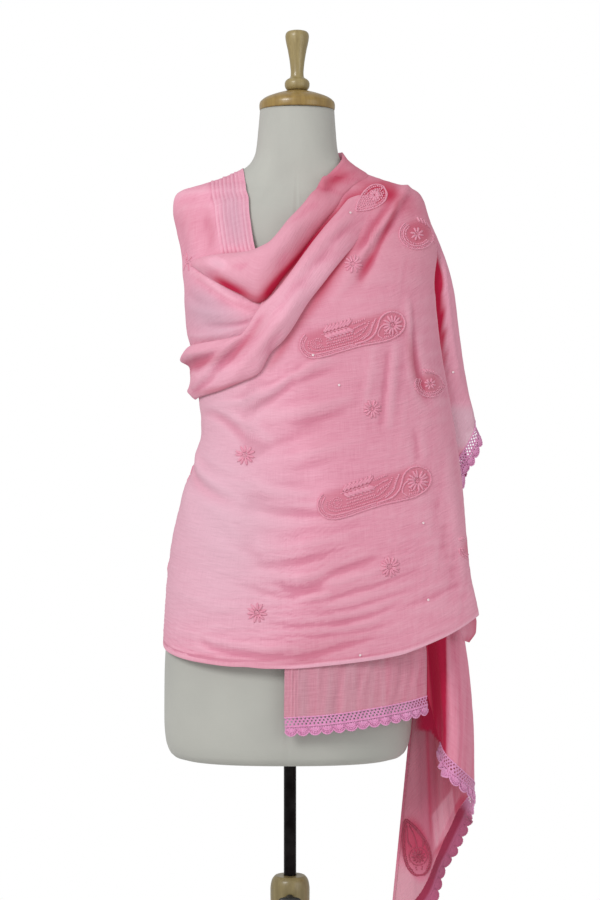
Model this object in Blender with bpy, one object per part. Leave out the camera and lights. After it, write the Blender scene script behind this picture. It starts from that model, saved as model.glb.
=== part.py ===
# Embroidered shawl draped on a limbless dress form with a wooden tripod stand.
#
# X runs to the viewer's right, Y to the back and Z up. The tables are in millimetres, measured
# from the floor under the pole. At the end everything moves so that the origin is on the floor
# under the middle of the whole object's box.
# The body is described by rings. A ring has half widths, a front and a back depth at one height.
# A turn is an angle round the body in degrees: 0 is its right side, 90 its back, 180 its left
# side and 270 its front. A sheet of cloth is a patch between two turns and between a lower and
# an upper edge. It is lifted off the rings by its layer and its folds and given a thickness.

import math

import bpy
import numpy as np
from mathutils import Vector

MM = 0.001

# Driving sizes of the shawl.
CLOTH_THICKNESS = 1.4
LACE_THICKNESS = 2.0
LACE_DEPTH = 26.0
SCALLOP_PITCH = 17.0
SCALLOP_DROP = 8.0
LACE_GAP = 0.5
SEAM_TURN = 0.15
UNDER_LAYER = 1.7
OUTER_LAYER = 5.0
COWL_LAYER = 4.9
CHEST_LAYER = 7.6
EDGE_ROLL_RADIUS = 4.5
EDGE_ROLL_RUN = 9.0
EDGE_ROLL_LEAST = 0.3
SHARP_ANGLE = 50.0

# Grid points of each sheet, along it and up it.
BACK_PANEL_GRID = (21, 20)
SHOULDER_PANEL_GRID = (15, 14)
FRONT_PANEL_GRID = (29, 23)
COWL_GRID = (30, 8)
CHEST_GRID = (36, 8)
INNER_END_GRID = (13, 20)
SIDE_DRAPE_GRID = (25, 17)
TAIL_GRID = (28, 20)
TAIL_LACE_START = 5
FRONT_LACE_POINTS = 4
LACE_POINTS = 3

# Turns and heights between which one kind of drape passes into another.
SIDE_SEAM_TURN = 165.0
BACK_START_TURN = 20.0
SHOULDER_END_TURN = 254.0
INNER_START_TURN = 268.0
DRAPE_END_TURN = 85.0
OUTER_LAYER_TURNS = (166.0, 226.0)
FRONT_FOLD_TURNS = (166.0, 200.0)
EDGE_ROLL_HEIGHTS = (1290.0, 1210.0)
HIDDEN_LAYER_DROP = 1.1
HIDDEN_LAYER_LOW = (700.0, 760.0)
HIDDEN_LAYER_HIGH = (1260.0, 1180.0)

# Driving sizes of the stand.
POLE_RADIUS = 8.75
FLANGE_RADIUS = 15.0
FLANGE_HEIGHT = 6.0
CAP_BASE = 1470.3
HUB_TOP = 400.0
HUB_BOTTOM = 96.0
KNOB_HEIGHT = 372.0
LEG_REACH = 268.0
LEG_WIDTH = 24.0
LEG_TURNS = (90.0, 210.0, 330.0)
FOOT_LENGTH = 22.0
FOOT_TOE_LENGTH = 8.0
FOOT_HEIGHT = 34.0
FOOT_TOE_HEIGHT = 16.0
WING_RADIUS = 9.0
WING_REACH = 7.0
WING_FLATTENING = 0.8
WING_DEPTH = 14.0
WING_CENTRE = 27.5
NECK_MIDDLE_Y = 1.5
TORSO_SIDES = 32
NECK_CAP_SIDES = 28
TURNED_SIDES = 20
WING_SIDES = 24
SMALL_GAP = 0.3

# Where the middle of the body stands, as the form leans a little to the right.
# height, sideways
BODY_MIDDLE = [
    (560, -3.5),
    (1020, 3.0),
    (1260, 8.0),
    (1470, 10.0),
]

# height, half width, front depth, back depth, squareness
TORSO_RINGS = [
    (566, 146, 94, 101, 2.40),
    (569, 157, 102, 109, 2.40),
    (577, 165, 109, 117, 2.40),
    (592, 170, 113, 122, 2.40),
    (620, 172.5, 115.5, 125, 2.40),
    (680, 173, 117, 127, 2.40),
    (740, 171, 117, 126, 2.40),
    (800, 168, 116, 122, 2.35),
    (870, 161, 112, 113, 2.30),
    (925, 148, 106, 103, 2.30),
    (970, 134, 98, 97, 2.25),
    (1020, 121, 93, 95, 2.20),
    (1065, 126, 96, 99, 2.20),
    (1115, 134, 104, 106, 2.20),
    (1165, 145, 111, 110, 2.20),
    (1215, 151, 109, 113, 2.20),
    (1260, 155, 100, 113, 2.20),
    (1300, 162, 86, 108, 2.20),
    (1328, 167, 74, 97, 2.20),
    (1343, 166, 64, 85, 2.10),
    (1351, 160, 60, 79, 2.05),
    (1357, 148, 56, 73, 2.00),
    (1364, 130, 53, 68, 2.00),
    (1374, 101, 51, 62, 2.00),
    (1385, 78, 50.5, 59, 2.00),
    (1397, 64, 50.5, 57, 2.00),
    (1412, 57.5, 50, 55, 2.00),
    (1445, 54, 48, 52, 2.00),
    (1470, 52, 47, 50, 2.00),
]

BUST_HEIGHT = 1165.0
BUST_RISE = 14.0
BUST_TURN = 37.0
BUST_SPREAD = 22.0
BUST_REACH = 55.0

# The taut surface that the cloth follows. It bridges the waist and the hollow of the chest. On
# the right the outer wrap and the under layer hang clear of the body from the shoulder.
# height, left, right outer, right under, front depth, back depth, squareness
CLOTH_RINGS = [
    (560, 174, 290, 214, 132, 139, 2.40),
    (650, 174, 288, 214, 132, 137, 2.40),
    (740, 173, 285, 212, 132, 135, 2.40),
    (773, 171.5, 279, 210, 132, 133, 2.40),
    (817, 169, 266, 208, 131, 130, 2.35),
    (870, 163, 258, 206, 129, 125, 2.30),
    (899, 157, 253, 204, 128, 122, 2.30),
    (925, 150.5, 247, 202, 127, 119, 2.30),
    (968, 138, 238, 199, 126, 115, 2.25),
    (1020, 124.5, 229, 196, 127, 113, 2.20),
    (1064, 128.5, 221, 192, 130, 114, 2.20),
    (1115, 137.5, 212, 188, 134, 116, 2.20),
    (1165, 149, 205, 184, 135, 117, 2.20),
    (1215, 154, 200, 181, 127, 119, 2.20),
    (1260, 158, 197, 179, 110, 117, 2.20),
    (1300, 166, 187, 175, 90, 112, 2.20),
    (1328, 171, 178, 172, 77, 101, 2.20),
    (1343, 170, 173, 170.5, 67, 88.5, 2.10),
    (1351, 167, 168, 167, 63, 82, 2.05),
    (1357, 158.5, 157, 155, 58.5, 75, 2.00),
    (1364, 133, 132, 131.5, 53.5, 68.7, 2.00),
    (1374, 102, 102, 102, 51.3, 62.4, 2.00),
    (1385, 78.3, 78.3, 78.3, 50.7, 59.2, 2.00),
    (1397, 64.3, 64.3, 64.3, 50.7, 57.2, 2.00),
    (1412, 57.8, 57.8, 57.8, 50.2, 55.2, 2.00),
    (1445, 54.3, 54.3, 54.3, 48.2, 52.2, 2.00),
]

# The drape that falls behind the right shoulder.
# height, half width, back depth
SIDE_DRAPE_RINGS = [
    (600, 240, 166),
    (840, 242, 160),
    (953, 241, 154),
    (1000, 246, 151),
    (1030, 247, 149),
    (1072, 237, 145),
    (1110, 229, 141),
    (1150, 223, 137),
    (1210, 217, 131),
    (1263, 203, 124),
    (1300, 190, 116),
    (1328, 178.5, 102),
    (1343, 173.3, 89),
    (1351, 168.3, 82.3),
    (1357, 157.3, 75.3),
    (1364, 132.2, 69),
    (1374, 102.3, 62.6),
    (1385, 78.5, 59.4),
    (1397, 64.4, 57.3),
    (1412, 57.9, 55.3),
    (1445, 54.4, 52.3),
]

# turn, height of the lower edge, height of the upper edge
BACK_PANEL_EDGES = [
    (20, 665, 1404),
    (50, 652, 1398),
    (90, 655, 1392),
    (120, 680, 1391),
    (145, 716, 1390),
    (165, 735, 1389),
]

SHOULDER_PANEL_EDGES = [
    (165, 1101, 1389),
    (180, 1101, 1388),
    (195, 1106, 1381),
    (209, 1118, 1370),
    (220, 1128, 1345),
    (230, 1140, 1311),
    (243, 1152, 1262),
    (254, 1160, 1236),
]

FRONT_PANEL_EDGES = [
    (165, 735, 1099),
    (180, 729, 1099),
    (200, 718, 1096),
    (222, 709, 1098),
    (241, 705, 1105),
    (251, 704, 1116),
    (258, 703, 1138),
    (270, 703, 1165),
    (279, 704, 1205),
    (288, 706, 1228),
    (302, 710, 1266),
    (320, 719, 1308),
    (333, 740, 1324),
    (345, 768, 1336),
    (360, 800, 1350),
]

INNER_END_EDGES = [
    (268, 637, 1240),
    (290, 640, 1330),
    (323, 652, 1378),
    (338, 660, 1388),
    (360, 670, 1398),
]

SIDE_DRAPE_EDGES = [
    (-12, 958, 1411),
    (-5, 1000, 1411),
    (0, 1030, 1411),
    (5, 1030, 1411),
    (12, 1000, 1409),
    (25, 935, 1402),
    (45, 868, 1388),
    (65, 850, 1356),
    (85, 872, 1292),
]

# Where a sheet's side edge runs.
# height, turn
FRONT_PANEL_RIGHT = [(700, 345), (1215, 345), (1318, 359), (1400, 359)]
INNER_END_RIGHT = [(600, 338), (1240, 338), (1320, 356), (1400, 356)]
SIDE_DRAPE_START = [(900, -12), (1205, -12), (1320, 0), (1415, 0)]

# A rolled fold lies between two edges and bulges off the body between them. Its valley is the
# share of the bulge that is lost half way across, which leaves a ridge along each edge.
# turn, lower, upper, bulge, valley
COWL_ROLL = [
    (194, 1247, 1257, 3, 0.0),
    (215, 1230, 1263, 9, 0.0),
    (238, 1206, 1267, 17, 0.0),
    (250, 1194, 1271, 23, 0.0),
    (264, 1228, 1304, 24, 0.0),
    (279, 1272, 1329, 19, 0.0),
    (302, 1318, 1361, 12, 0.0),
    (323, 1352, 1383, 8, 0.0),
    (345, 1370, 1400, 4, 0.0),
    (360, 1380, 1411, 3, 0.0),
]

CHEST_ROLL = [
    (166, 1084, 1110, 3, 0.2),
    (173, 1077, 1122, 8, 0.5),
    (184, 1066, 1134, 14, 0.7),
    (200, 1068, 1140, 13, 0.6),
    (222, 1074, 1143, 12, 0.5),
    (241, 1087, 1150, 14, 0.4),
    (251, 1098, 1184, 17, 0.3),
    (258, 1126, 1201, 18, 0.2),
    (264, 1140, 1220, 17, 0.1),
    (279, 1194, 1264, 15, 0.0),
    (302, 1255, 1311, 11, 0.0),
    (323, 1298, 1346, 6, 0.0),
    (345, 1322, 1362, 3, 0.0),
    (360, 1339, 1372, 2, 0.0),
]

# Folds of the front panel, as curves through three points of the front view.
# start x, start z, middle x, middle z, end x, end z, rise, width
FRONT_FOLDS = [
    (157, 1350, 130, 1302, 103, 1261, 5, 10),
    (-33, 1100, 14, 1122, 148, 1136, 5, 16),
    (-66, 1062, 14, 1096, 60, 1109, -2, 15),
    (-126, 1046, -87, 1035, -46, 1008, -2, 12),
    (-142, 984, -113, 944, -80, 924, 4, 11),
    (-126, 986, -66, 948, 41, 924, 3, 12),
    (160, 1200, 166, 1100, 168, 995, 5, 16),
    (54, 797, 130, 806, 202, 834, 3, 14),
    (1, 807, 81, 828, 121, 845, 3, 14),
    (-165, 751, 1, 722, 108, 740, 3, 12),
    (190, 960, 205, 860, 225, 775, 4, 18),
]

# Folds of the back panel, as curves through three points, with x as seen from the front.
# start x, start z, middle x, middle z, end x, end z, rise, width
BACK_FOLDS = [
    (-120, 1360, -40, 1190, 130, 1120, 6, 20),
    (-140, 1290, -50, 1090, 140, 1010, 6, 22),
    (-150, 1180, -60, 980, 150, 900, 6, 24),
    (-140, 1010, -40, 880, 150, 800, 5, 24),
    (-150, 880, -30, 770, 120, 720, 5, 24),
]

SIDE_DRAPE_WAVES = 4.5
SIDE_DRAPE_WAVE_RISE = 9.0
SIDE_DRAPE_WAVE_HEIGHTS = (1300.0, 1050.0)
SIDE_DRAPE_FIRST_TURN = -12.0
SIDE_DRAPE_CALM_TURN = 4.0

# The tail's plan. It goes on from the inner end's right edge, back into a deep fold, forward
# again to the outer side and round to the back panel's edge.
# share of the way, x, y, lower edge, lean to the left, share of the pull
TAIL_PLAN = [
    (0.00, 189, -75, 660, 0.00, 1.0),
    (0.07, 197, -42, 640, 0.00, 1.0),
    (0.13, 203, -22, 610, 0.00, 1.0),
    (0.18, 208, -32, 592, 0.00, 1.0),
    (0.24, 214, -52, 578, 0.00, 1.0),
    (0.31, 226, -61, 566, 0.00, 1.0),
    (0.39, 241, -50, 551, 0.00, 1.0),
    (0.48, 257, -12, 530, 0.00, 1.0),
    (0.58, 254, 26, 500, 0.02, 1.0),
    (0.69, 234, 50, 462, 0.05, 0.8),
    (0.80, 212, 48, 414, 0.07, 0.5),
    (0.90, 192, 36, 366, 0.09, 0.2),
    (1.00, 173, 54, 318, 0.10, 0.0),
]
TAIL_LEAN_HEIGHT = 620.0

# height, sideways pull
TAIL_PULL = [(560, 0), (590, 0), (673, 5.5), (725, 12.5), (770, 19), (860, 30)]

# Above the wrap's hem the tail spreads out and lies round the body's right side.
TAIL_SPREAD_LOW = 760.0
TAIL_SPREAD_HIGH = 1040.0
TAIL_TOP = 1190.0
TAIL_START_TURN = 338.0
TAIL_END_TURN = 379.4

# height, radius
NECK_CAP_PROFILE = [
    (0.0, 52.0),
    (7.0, 53.0),
    (12.0, 51.5),
    (17.0, 46.0),
    (21.0, 36.0),
    (26.0, 22.0),
    (28.0, 12.0),
]
FINIAL_PROFILE = [
    (0.0, 13.5),
    (3.0, 16.5),
    (9.0, 17.5),
    (15.0, 14.5),
    (18.0, 10.0),
    (24.0, 9.0),
    (40.0, 10.5),
    (58.0, 13.5),
    (70.0, 16.0),
    (79.0, 16.2),
    (82.5, 13.5),
    (84.0, 6.0),
]
HUB_PROFILE = [
    (0.0, 16.0),
    (6.0, 26.0),
    (16.0, 31.0),
    (70.0, 34.0),
    (120.0, 31.0),
    (150.0, 24.0),
    (180.0, 21.0),
    (250.0, 21.0),
    (262.0, 26.5),
    (285.0, 27.5),
    (298.0, 25.5),
    (304.0, 21.0),
]

# reach, height, half depth
LEG_PROFILE = [
    (34.3, 205, 34),
    (80, 188, 24),
    (134, 142, 19),
    (188, 88, 16),
    (230, 47, 14),
]

# name, red, green, blue, roughness, metallic
FINISHES = [
    ("shawl_cloth", 0.72, 0.29, 0.40, 0.85, 0.0),
    ("crochet_lace", 0.72, 0.22, 0.46, 0.80, 0.0),
    ("form_cover", 0.58, 0.56, 0.49, 0.75, 0.0),
    ("varnished_wood", 0.36, 0.22, 0.08, 0.35, 0.0),
    ("pole_metal", 0.03, 0.025, 0.025, 0.30, 0.9),
    ("black_plastic", 0.015, 0.015, 0.015, 0.40, 0.0),
]


def smooth_curve(knots, values):
    """Give a curve through the values that never overshoots between two knots."""
    x = np.asarray(knots, float)
    y = np.asarray(values, float)
    step = np.diff(x)
    slope = np.diff(y) / step
    same_way = slope[:-1] * slope[1:] > 0
    before = 2 * step[1:] + step[:-1]
    after = step[1:] + 2 * step[:-1]
    safe_before = np.where(same_way, slope[:-1], 1.0)
    safe_after = np.where(same_way, slope[1:], 1.0)
    middle = (before + after) / (before / safe_before + after / safe_after)
    tangent = np.concatenate([slope[:1], np.where(same_way, middle, 0.0), slope[-1:]])

    def value_at(where):
        where = np.clip(np.asarray(where, float), x[0], x[-1])
        i = np.clip(np.searchsorted(x, where) - 1, 0, len(step) - 1)
        t = (where - x[i]) / step[i]
        from_start = (2 * t**3 - 3 * t**2 + 1) * y[i]
        from_start = from_start + (t**3 - 2 * t**2 + t) * step[i] * tangent[i]
        from_end = (3 * t**2 - 2 * t**3) * y[i + 1]
        from_end = from_end + (t**3 - t**2) * step[i] * tangent[i + 1]
        return from_start + from_end

    return value_at


def table_curves(table):
    """Give one curve for each column of a table after its first."""
    columns = list(zip(*table))
    return [smooth_curve(columns[0], column) for column in columns[1:]]


MIDDLE_AT = table_curves(BODY_MIDDLE)[0]
TORSO_AT = table_curves(TORSO_RINGS)
CLOTH_AT = table_curves(CLOTH_RINGS)
SIDE_DRAPE_AT = table_curves(SIDE_DRAPE_RINGS)


def unit(vectors):
    return vectors / np.maximum(np.linalg.norm(vectors, axis=-1, keepdims=True), 1e-9)


def ring_point(turn, height, left, right, front, back, power):
    """Give the point of a rounded ring at a turn."""
    angle = np.radians(turn)
    half_width = np.where(np.cos(angle) > 0, right, left)
    depth = np.where(np.sin(angle) > 0, back, front)
    across = np.abs(np.cos(angle) / half_width) ** power
    along = np.abs(np.sin(angle) / depth) ** power
    radius = (across + along) ** (-1 / power)
    x = MIDDLE_AT(height) + radius * np.cos(angle)
    return np.stack([x, radius * np.sin(angle), height], axis=-1)


def torso_point(turn, height):
    half_width, front, back, power = [curve(height) for curve in TORSO_AT]
    point = ring_point(turn, height, half_width, half_width, front, back, power)
    rise = 0.0
    for side in (-1, 1):
        away = (turn - 270 - side * BUST_TURN) / BUST_SPREAD
        above = (height - BUST_HEIGHT) / BUST_REACH
        rise = rise + BUST_RISE * np.exp(-(away**2) - above**2)
    point[..., 0] += rise * np.cos(np.radians(turn))
    point[..., 1] += rise * np.sin(np.radians(turn))
    return point


def outer_cloth_point(turn, height):
    left, right_outer, _, front, back, power = [curve(height) for curve in CLOTH_AT]
    return ring_point(turn, height, left, right_outer, front, back, power)


def under_cloth_point(turn, height):
    left, _, right_under, front, back, power = [curve(height) for curve in CLOTH_AT]
    return ring_point(turn, height, left, right_under, front, back, power)


def snug_cloth_point(turn, height):
    left, _, _, front, back, power = [curve(height) for curve in CLOTH_AT]
    return ring_point(turn, height, left, left, front, back, power)


def side_drape_point(turn, height):
    half_width, back = [curve(height) for curve in SIDE_DRAPE_AT]
    power = CLOTH_AT[5](height)
    return ring_point(turn, height, half_width, half_width, back, back, power)


def lifted(surface, turn, height, lift):
    """Move a surface's points out along its own normals."""
    point = surface(turn, height)
    round_way = surface(turn + 0.4, height) - surface(turn - 0.4, height)
    up_way = surface(turn, height + 0.8) - surface(turn, height - 0.8)
    normal = unit(np.cross(round_way, up_way))
    return point + normal * np.asarray(lift)[..., None]


def fold_rise(x, z, folds):
    """Add up the ridges and hollows of a table of folds at points of the front view."""
    steps = np.linspace(0, 1, 21)
    total = np.zeros_like(x)
    for start_x, start_z, middle_x, middle_z, end_x, end_z, rise, width in folds:
        weights = [(1 - steps) ** 2, 2 * steps * (1 - steps), steps**2]
        control_x = 2 * middle_x - (start_x + end_x) / 2
        control_z = 2 * middle_z - (start_z + end_z) / 2
        curve_x = weights[0] * start_x + weights[1] * control_x + weights[2] * end_x
        curve_z = weights[0] * start_z + weights[1] * control_z + weights[2] * end_z
        squared = (x[..., None] - curve_x) ** 2 + (z[..., None] - curve_z) ** 2
        nearest = np.argmin(squared, axis=-1)
        fade = np.sin(np.pi * (0.06 + 0.88 * steps[nearest])) ** 0.5
        total = total + rise * fade * np.exp(-np.min(squared, axis=-1) / width**2)
    return total


def blend(start, end, value):
    share = np.clip((value - start) / (end - start), 0, 1)
    return share * share * (3 - 2 * share)


def profile_length():
    """Tabulate the length along the left side's outline against height."""
    heights = np.arange(555.0, 1446.0, 1.0)
    widths = CLOTH_AT[0](heights)
    steps = np.hypot(np.diff(heights), np.diff(widths))
    return heights, np.concatenate([[0.0], np.cumsum(steps)])


PROFILE_HEIGHTS, PROFILE_LENGTHS = profile_length()


def between_edges(lower, upper, share):
    """Give heights at an even share of the outline's length between two edges."""
    low = np.interp(lower, PROFILE_HEIGHTS, PROFILE_LENGTHS)
    high = np.interp(upper, PROFILE_HEIGHTS, PROFILE_LENGTHS)
    return np.interp(low + (high - low) * share, PROFILE_LENGTHS, PROFILE_HEIGHTS)


def even(count):
    return np.linspace(0, 1, count)


def closer_to_end(count):
    """Give shares that crowd towards 1, where the body's side turns more sharply."""
    return 1 - (1 - even(count)) ** 1.5


def closer_to_start(count):
    return even(count) ** 1.5


def closer_to_both(count):
    return even(count) - 0.35 * np.sin(2 * np.pi * even(count)) / (2 * np.pi)


def patch(edges, start, end, shares, up_shares):
    """Give turns and heights on a grid between a sheet's side edges and its two edges."""
    lower_at, upper_at = table_curves(edges)
    across, up = np.meshgrid(shares, up_shares)
    turn = start(1000.0) + (end(1000.0) - start(1000.0)) * across
    for _ in range(6):
        height = between_edges(lower_at(turn), upper_at(turn), up)
        turn = start(height) + (end(height) - start(height)) * across
    return turn, between_edges(lower_at(turn), upper_at(turn), up)


def fixed(turn):
    return lambda height: turn + 0.0 * np.asarray(height)


def edge_curve(table, shift):
    curve = table_curves(table)[0]
    return lambda height: curve(height) + shift


def front_panel_lift(turn, height):
    point = outer_cloth_point(turn, height)
    rise = fold_rise(point[..., 0], height, FRONT_FOLDS) * blend(*FRONT_FOLD_TURNS, turn)
    return UNDER_LAYER + (OUTER_LAYER - UNDER_LAYER) * blend(*OUTER_LAYER_TURNS, turn) + rise


def front_panel_surface(turn, height):
    return lifted(outer_cloth_point, turn, height, front_panel_lift(turn, height))


def back_panel_surface(turn, height):
    point = snug_cloth_point(turn, height)
    rise = fold_rise(point[..., 0], height, BACK_FOLDS)
    rise = rise * blend(BACK_START_TURN, BACK_START_TURN + 25, turn)
    rise = rise * blend(SIDE_SEAM_TURN, SIDE_SEAM_TURN - 20, turn)
    return lifted(snug_cloth_point, turn, height, UNDER_LAYER + rise)


def shoulder_panel_surface(turn, height):
    return lifted(snug_cloth_point, turn, height, UNDER_LAYER + 0.0 * turn)


def inner_end_surface(turn, height):
    hidden = blend(*HIDDEN_LAYER_LOW, height) * blend(*HIDDEN_LAYER_HIGH, height)
    return lifted(under_cloth_point, turn, height, UNDER_LAYER - HIDDEN_LAYER_DROP * hidden)


def side_drape_surface(turn, height):
    along = (turn - SIDE_DRAPE_FIRST_TURN) / (DRAPE_END_TURN - SIDE_DRAPE_FIRST_TURN)
    wave = np.sin(2 * np.pi * SIDE_DRAPE_WAVES * along)
    rise = SIDE_DRAPE_WAVE_RISE * wave * blend(*SIDE_DRAPE_WAVE_HEIGHTS, height)
    rise = rise * blend(SIDE_DRAPE_FIRST_TURN, SIDE_DRAPE_CALM_TURN, turn)
    return lifted(side_drape_point, turn, height, OUTER_LAYER + rise)


def tail_on_body(share, height):
    """Give the points of the tail's cloth where it lies round the right side of the body."""
    turn = TAIL_START_TURN + SEAM_TURN + (TAIL_END_TURN - TAIL_START_TURN - 2 * SEAM_TURN) * share
    front = inner_end_surface(turn, height)
    back = lifted(snug_cloth_point, turn, height, UNDER_LAYER + 0.0 * turn)
    return front + (back - front) * blend(0.1, 1, share)[..., None]


def tail_surface(share, height):
    """Give the tail's points. It leaves the body's side below the wrap and leans left."""
    x, y, _, lean, pulled = [curve(share) for curve in table_curves(TAIL_PLAN)]
    pull = table_curves(TAIL_PULL)[0](height)
    x = x - lean * np.maximum(TAIL_LEAN_HEIGHT - height, 0) - pulled * pull
    hanging = np.stack([x, y, height], axis=-1)
    on_body = tail_on_body(share, height)
    near_start = 1 - blend(0, 0.12, share)
    near_end = blend(0.88, 1, share) * blend(640, 700, height)
    spread = blend(TAIL_SPREAD_LOW, TAIL_SPREAD_HIGH, height)
    hold = np.maximum(spread, np.maximum(near_start * blend(600, 650, height), near_end))
    return hanging + (on_body - hanging) * hold[..., None]


def rolled_fold(table, layer, shares, rows):
    """Make a fold's grid: a half tube that lies on the layer below and turns in at both edges."""
    lower_at, upper_at, bulge_at, valley_at = table_curves(table)
    turn = table[0][0] + (table[-1][0] - SEAM_TURN - table[0][0]) * shares
    across = np.radians(np.linspace(-86, 86, rows))
    turn, across = np.meshgrid(turn, across)
    share = 0.5 + 0.5 * np.sin(across)
    height = between_edges(lower_at(turn), upper_at(turn), share)
    valley = 1 - valley_at(turn) * np.exp(-(((share - 0.5) / 0.28) ** 2))
    lift = layer(turn, height) + bulge_at(turn) * np.cos(across) * valley
    return lifted(outer_cloth_point, turn, height, lift)


def chest_layer(turn, height):
    return front_panel_lift(turn, height) + CHEST_LAYER - OUTER_LAYER


def cowl_layer(turn, height):
    return COWL_LAYER + 0.0 * turn


def grid_normals(grid):
    """Give outward normals: columns run round the body and rows run up it."""
    round_way = np.gradient(grid, axis=1)
    up_way = np.gradient(grid, axis=0)
    return unit(np.cross(round_way, up_way))


def roll_side_edge(grid):
    """Turn the last column of a grid back inside itself, less so where it lies on the shoulder."""
    edge = grid[:, -1]
    along = unit(edge - grid[:, -2])
    normal = grid_normals(grid)[:, -1]
    free = blend(*EDGE_ROLL_HEIGHTS, edge[:, 2:])
    freedom = EDGE_ROLL_LEAST + (1 - EDGE_ROLL_LEAST) * free
    radius = EDGE_ROLL_RADIUS * freedom
    centre = edge - normal * radius
    added = []
    for angle in np.radians([45, 90, 135, 170]):
        added.append(centre + radius * (normal * math.cos(angle) + along * math.sin(angle)))
    added.append(added[-1] - along * EDGE_ROLL_RUN * freedom)
    return np.concatenate([grid, np.stack(added, axis=1)], axis=1)


def make_material(name):
    row = next(finish for finish in FINISHES if finish[0] == name)
    _, red, green, blue, roughness, metallic = row
    material = bpy.data.materials.new(name)
    material.use_nodes = True
    material.diffuse_color = (red, green, blue, 1.0)
    shader = material.node_tree.nodes["Principled BSDF"]
    shader.inputs["Base Color"].default_value = (red, green, blue, 1.0)
    shader.inputs["Roughness"].default_value = roughness
    shader.inputs["Metallic"].default_value = metallic
    return material


def add_object(name, vertices, faces, material, smooth=True):
    mesh = bpy.data.meshes.new(name)
    mesh.from_pydata([tuple(vertex) for vertex in vertices], [], faces)
    mesh.materials.append(material)
    if smooth:
        mesh.shade_smooth()
        mesh.set_sharp_from_angle(angle=math.radians(SHARP_ANGLE))
    made = bpy.data.objects.new(name, mesh)
    bpy.context.scene.collection.objects.link(made)
    return made


def make_sheet(name, grid, thickness, material):
    """Thicken a grid of middle points into one closed wall."""
    rows, columns = grid.shape[:2]
    normal = grid_normals(grid)
    outside = (grid + normal * thickness / 2) * MM
    inside = (grid - normal * thickness / 2) * MM
    vertices = np.concatenate([outside.reshape(-1, 3), inside.reshape(-1, 3)])
    count = rows * columns
    faces = []
    for row in range(rows - 1):
        for column in range(columns - 1):
            corner = row * columns + column
            quad = (corner, corner + 1, corner + columns + 1, corner + columns)
            faces.append(quad)
            faces.append(tuple(count + i for i in reversed(quad)))
    rim = [column for column in range(columns)]
    rim += [row * columns + columns - 1 for row in range(1, rows)]
    rim += [(rows - 1) * columns + column for column in range(columns - 2, -1, -1)]
    rim += [row * columns for row in range(rows - 2, 0, -1)]
    for here, after in zip(rim, rim[1:] + rim[:1]):
        faces.append((after, here, here + count, after + count))
    return add_object(name, vertices, faces, material)


def make_lace(name, grid, first, last, points, material):
    """Hang a strip of lace, with a scalloped outline, from part of a sheet's lower edge."""
    edge = grid[0, first:last]
    along = unit(np.gradient(edge, axis=0))
    down = grid[0, first:last] - grid[1, first:last]
    down = unit(down - along * np.sum(down * along, axis=-1, keepdims=True))
    steps = np.linalg.norm(np.diff(edge, axis=0), axis=1)
    lengths = np.concatenate([[0.0], np.cumsum(steps)])
    scallops = max(1, round(lengths[-1] / SCALLOP_PITCH))
    shares = np.linspace(0, 1, scallops * points + 1)
    place = shares * lengths[-1]
    edge = np.stack([np.interp(place, lengths, edge[:, axis]) for axis in range(3)], axis=-1)
    down = unit(np.stack([np.interp(place, lengths, down[:, axis]) for axis in range(3)], axis=-1))
    scoop = np.abs(np.sin(np.pi * shares * scallops)) ** 0.6
    depth = LACE_DEPTH - SCALLOP_DROP + SCALLOP_DROP * scoop
    rows = []
    for share in (1.0, 0.0):
        rows.append(edge + down * (LACE_GAP + share * depth)[:, None])
    return make_sheet(name, np.stack(rows), LACE_THICKNESS, material)


def make_turned(name, profile, middle, material, sides=TURNED_SIDES):
    """Spin a profile of heights and radii about an upright line, closed at both ends."""
    vertices = []
    for height, radius in profile:
        for side in range(sides):
            angle = 2 * math.pi * side / sides
            x = radius * math.cos(angle)
            vertices.append((x * MM, radius * math.sin(angle) * MM, height * MM))
    faces = []
    for ring in range(len(profile) - 1):
        for side in range(sides):
            after = (side + 1) % sides
            low = ring * sides
            high = low + sides
            faces.append((low + side, low + after, high + after, high + side))
    faces.append(tuple(reversed(range(sides))))
    faces.append(tuple((len(profile) - 1) * sides + side for side in range(sides)))
    made = add_object(name, vertices, faces, material)
    made.location = [value * MM for value in middle]
    return made


def make_torso(material):
    heights = np.array([row[0] for row in TORSO_RINGS], float)
    turns = np.linspace(0, 360, TORSO_SIDES + 1)[:-1]
    turn, height = np.meshgrid(turns, heights)
    points = torso_point(turn, height) * MM
    rows, columns = turn.shape
    faces = []
    for row in range(rows - 1):
        for column in range(columns):
            after = (column + 1) % columns
            low = row * columns
            high = low + columns
            faces.append((low + column, low + after, high + after, high + column))
    faces.append(tuple(reversed(range(columns))))
    faces.append(tuple((rows - 1) * columns + column for column in range(columns)))
    return add_object("torso", points.reshape(-1, 3), faces, material)


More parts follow.
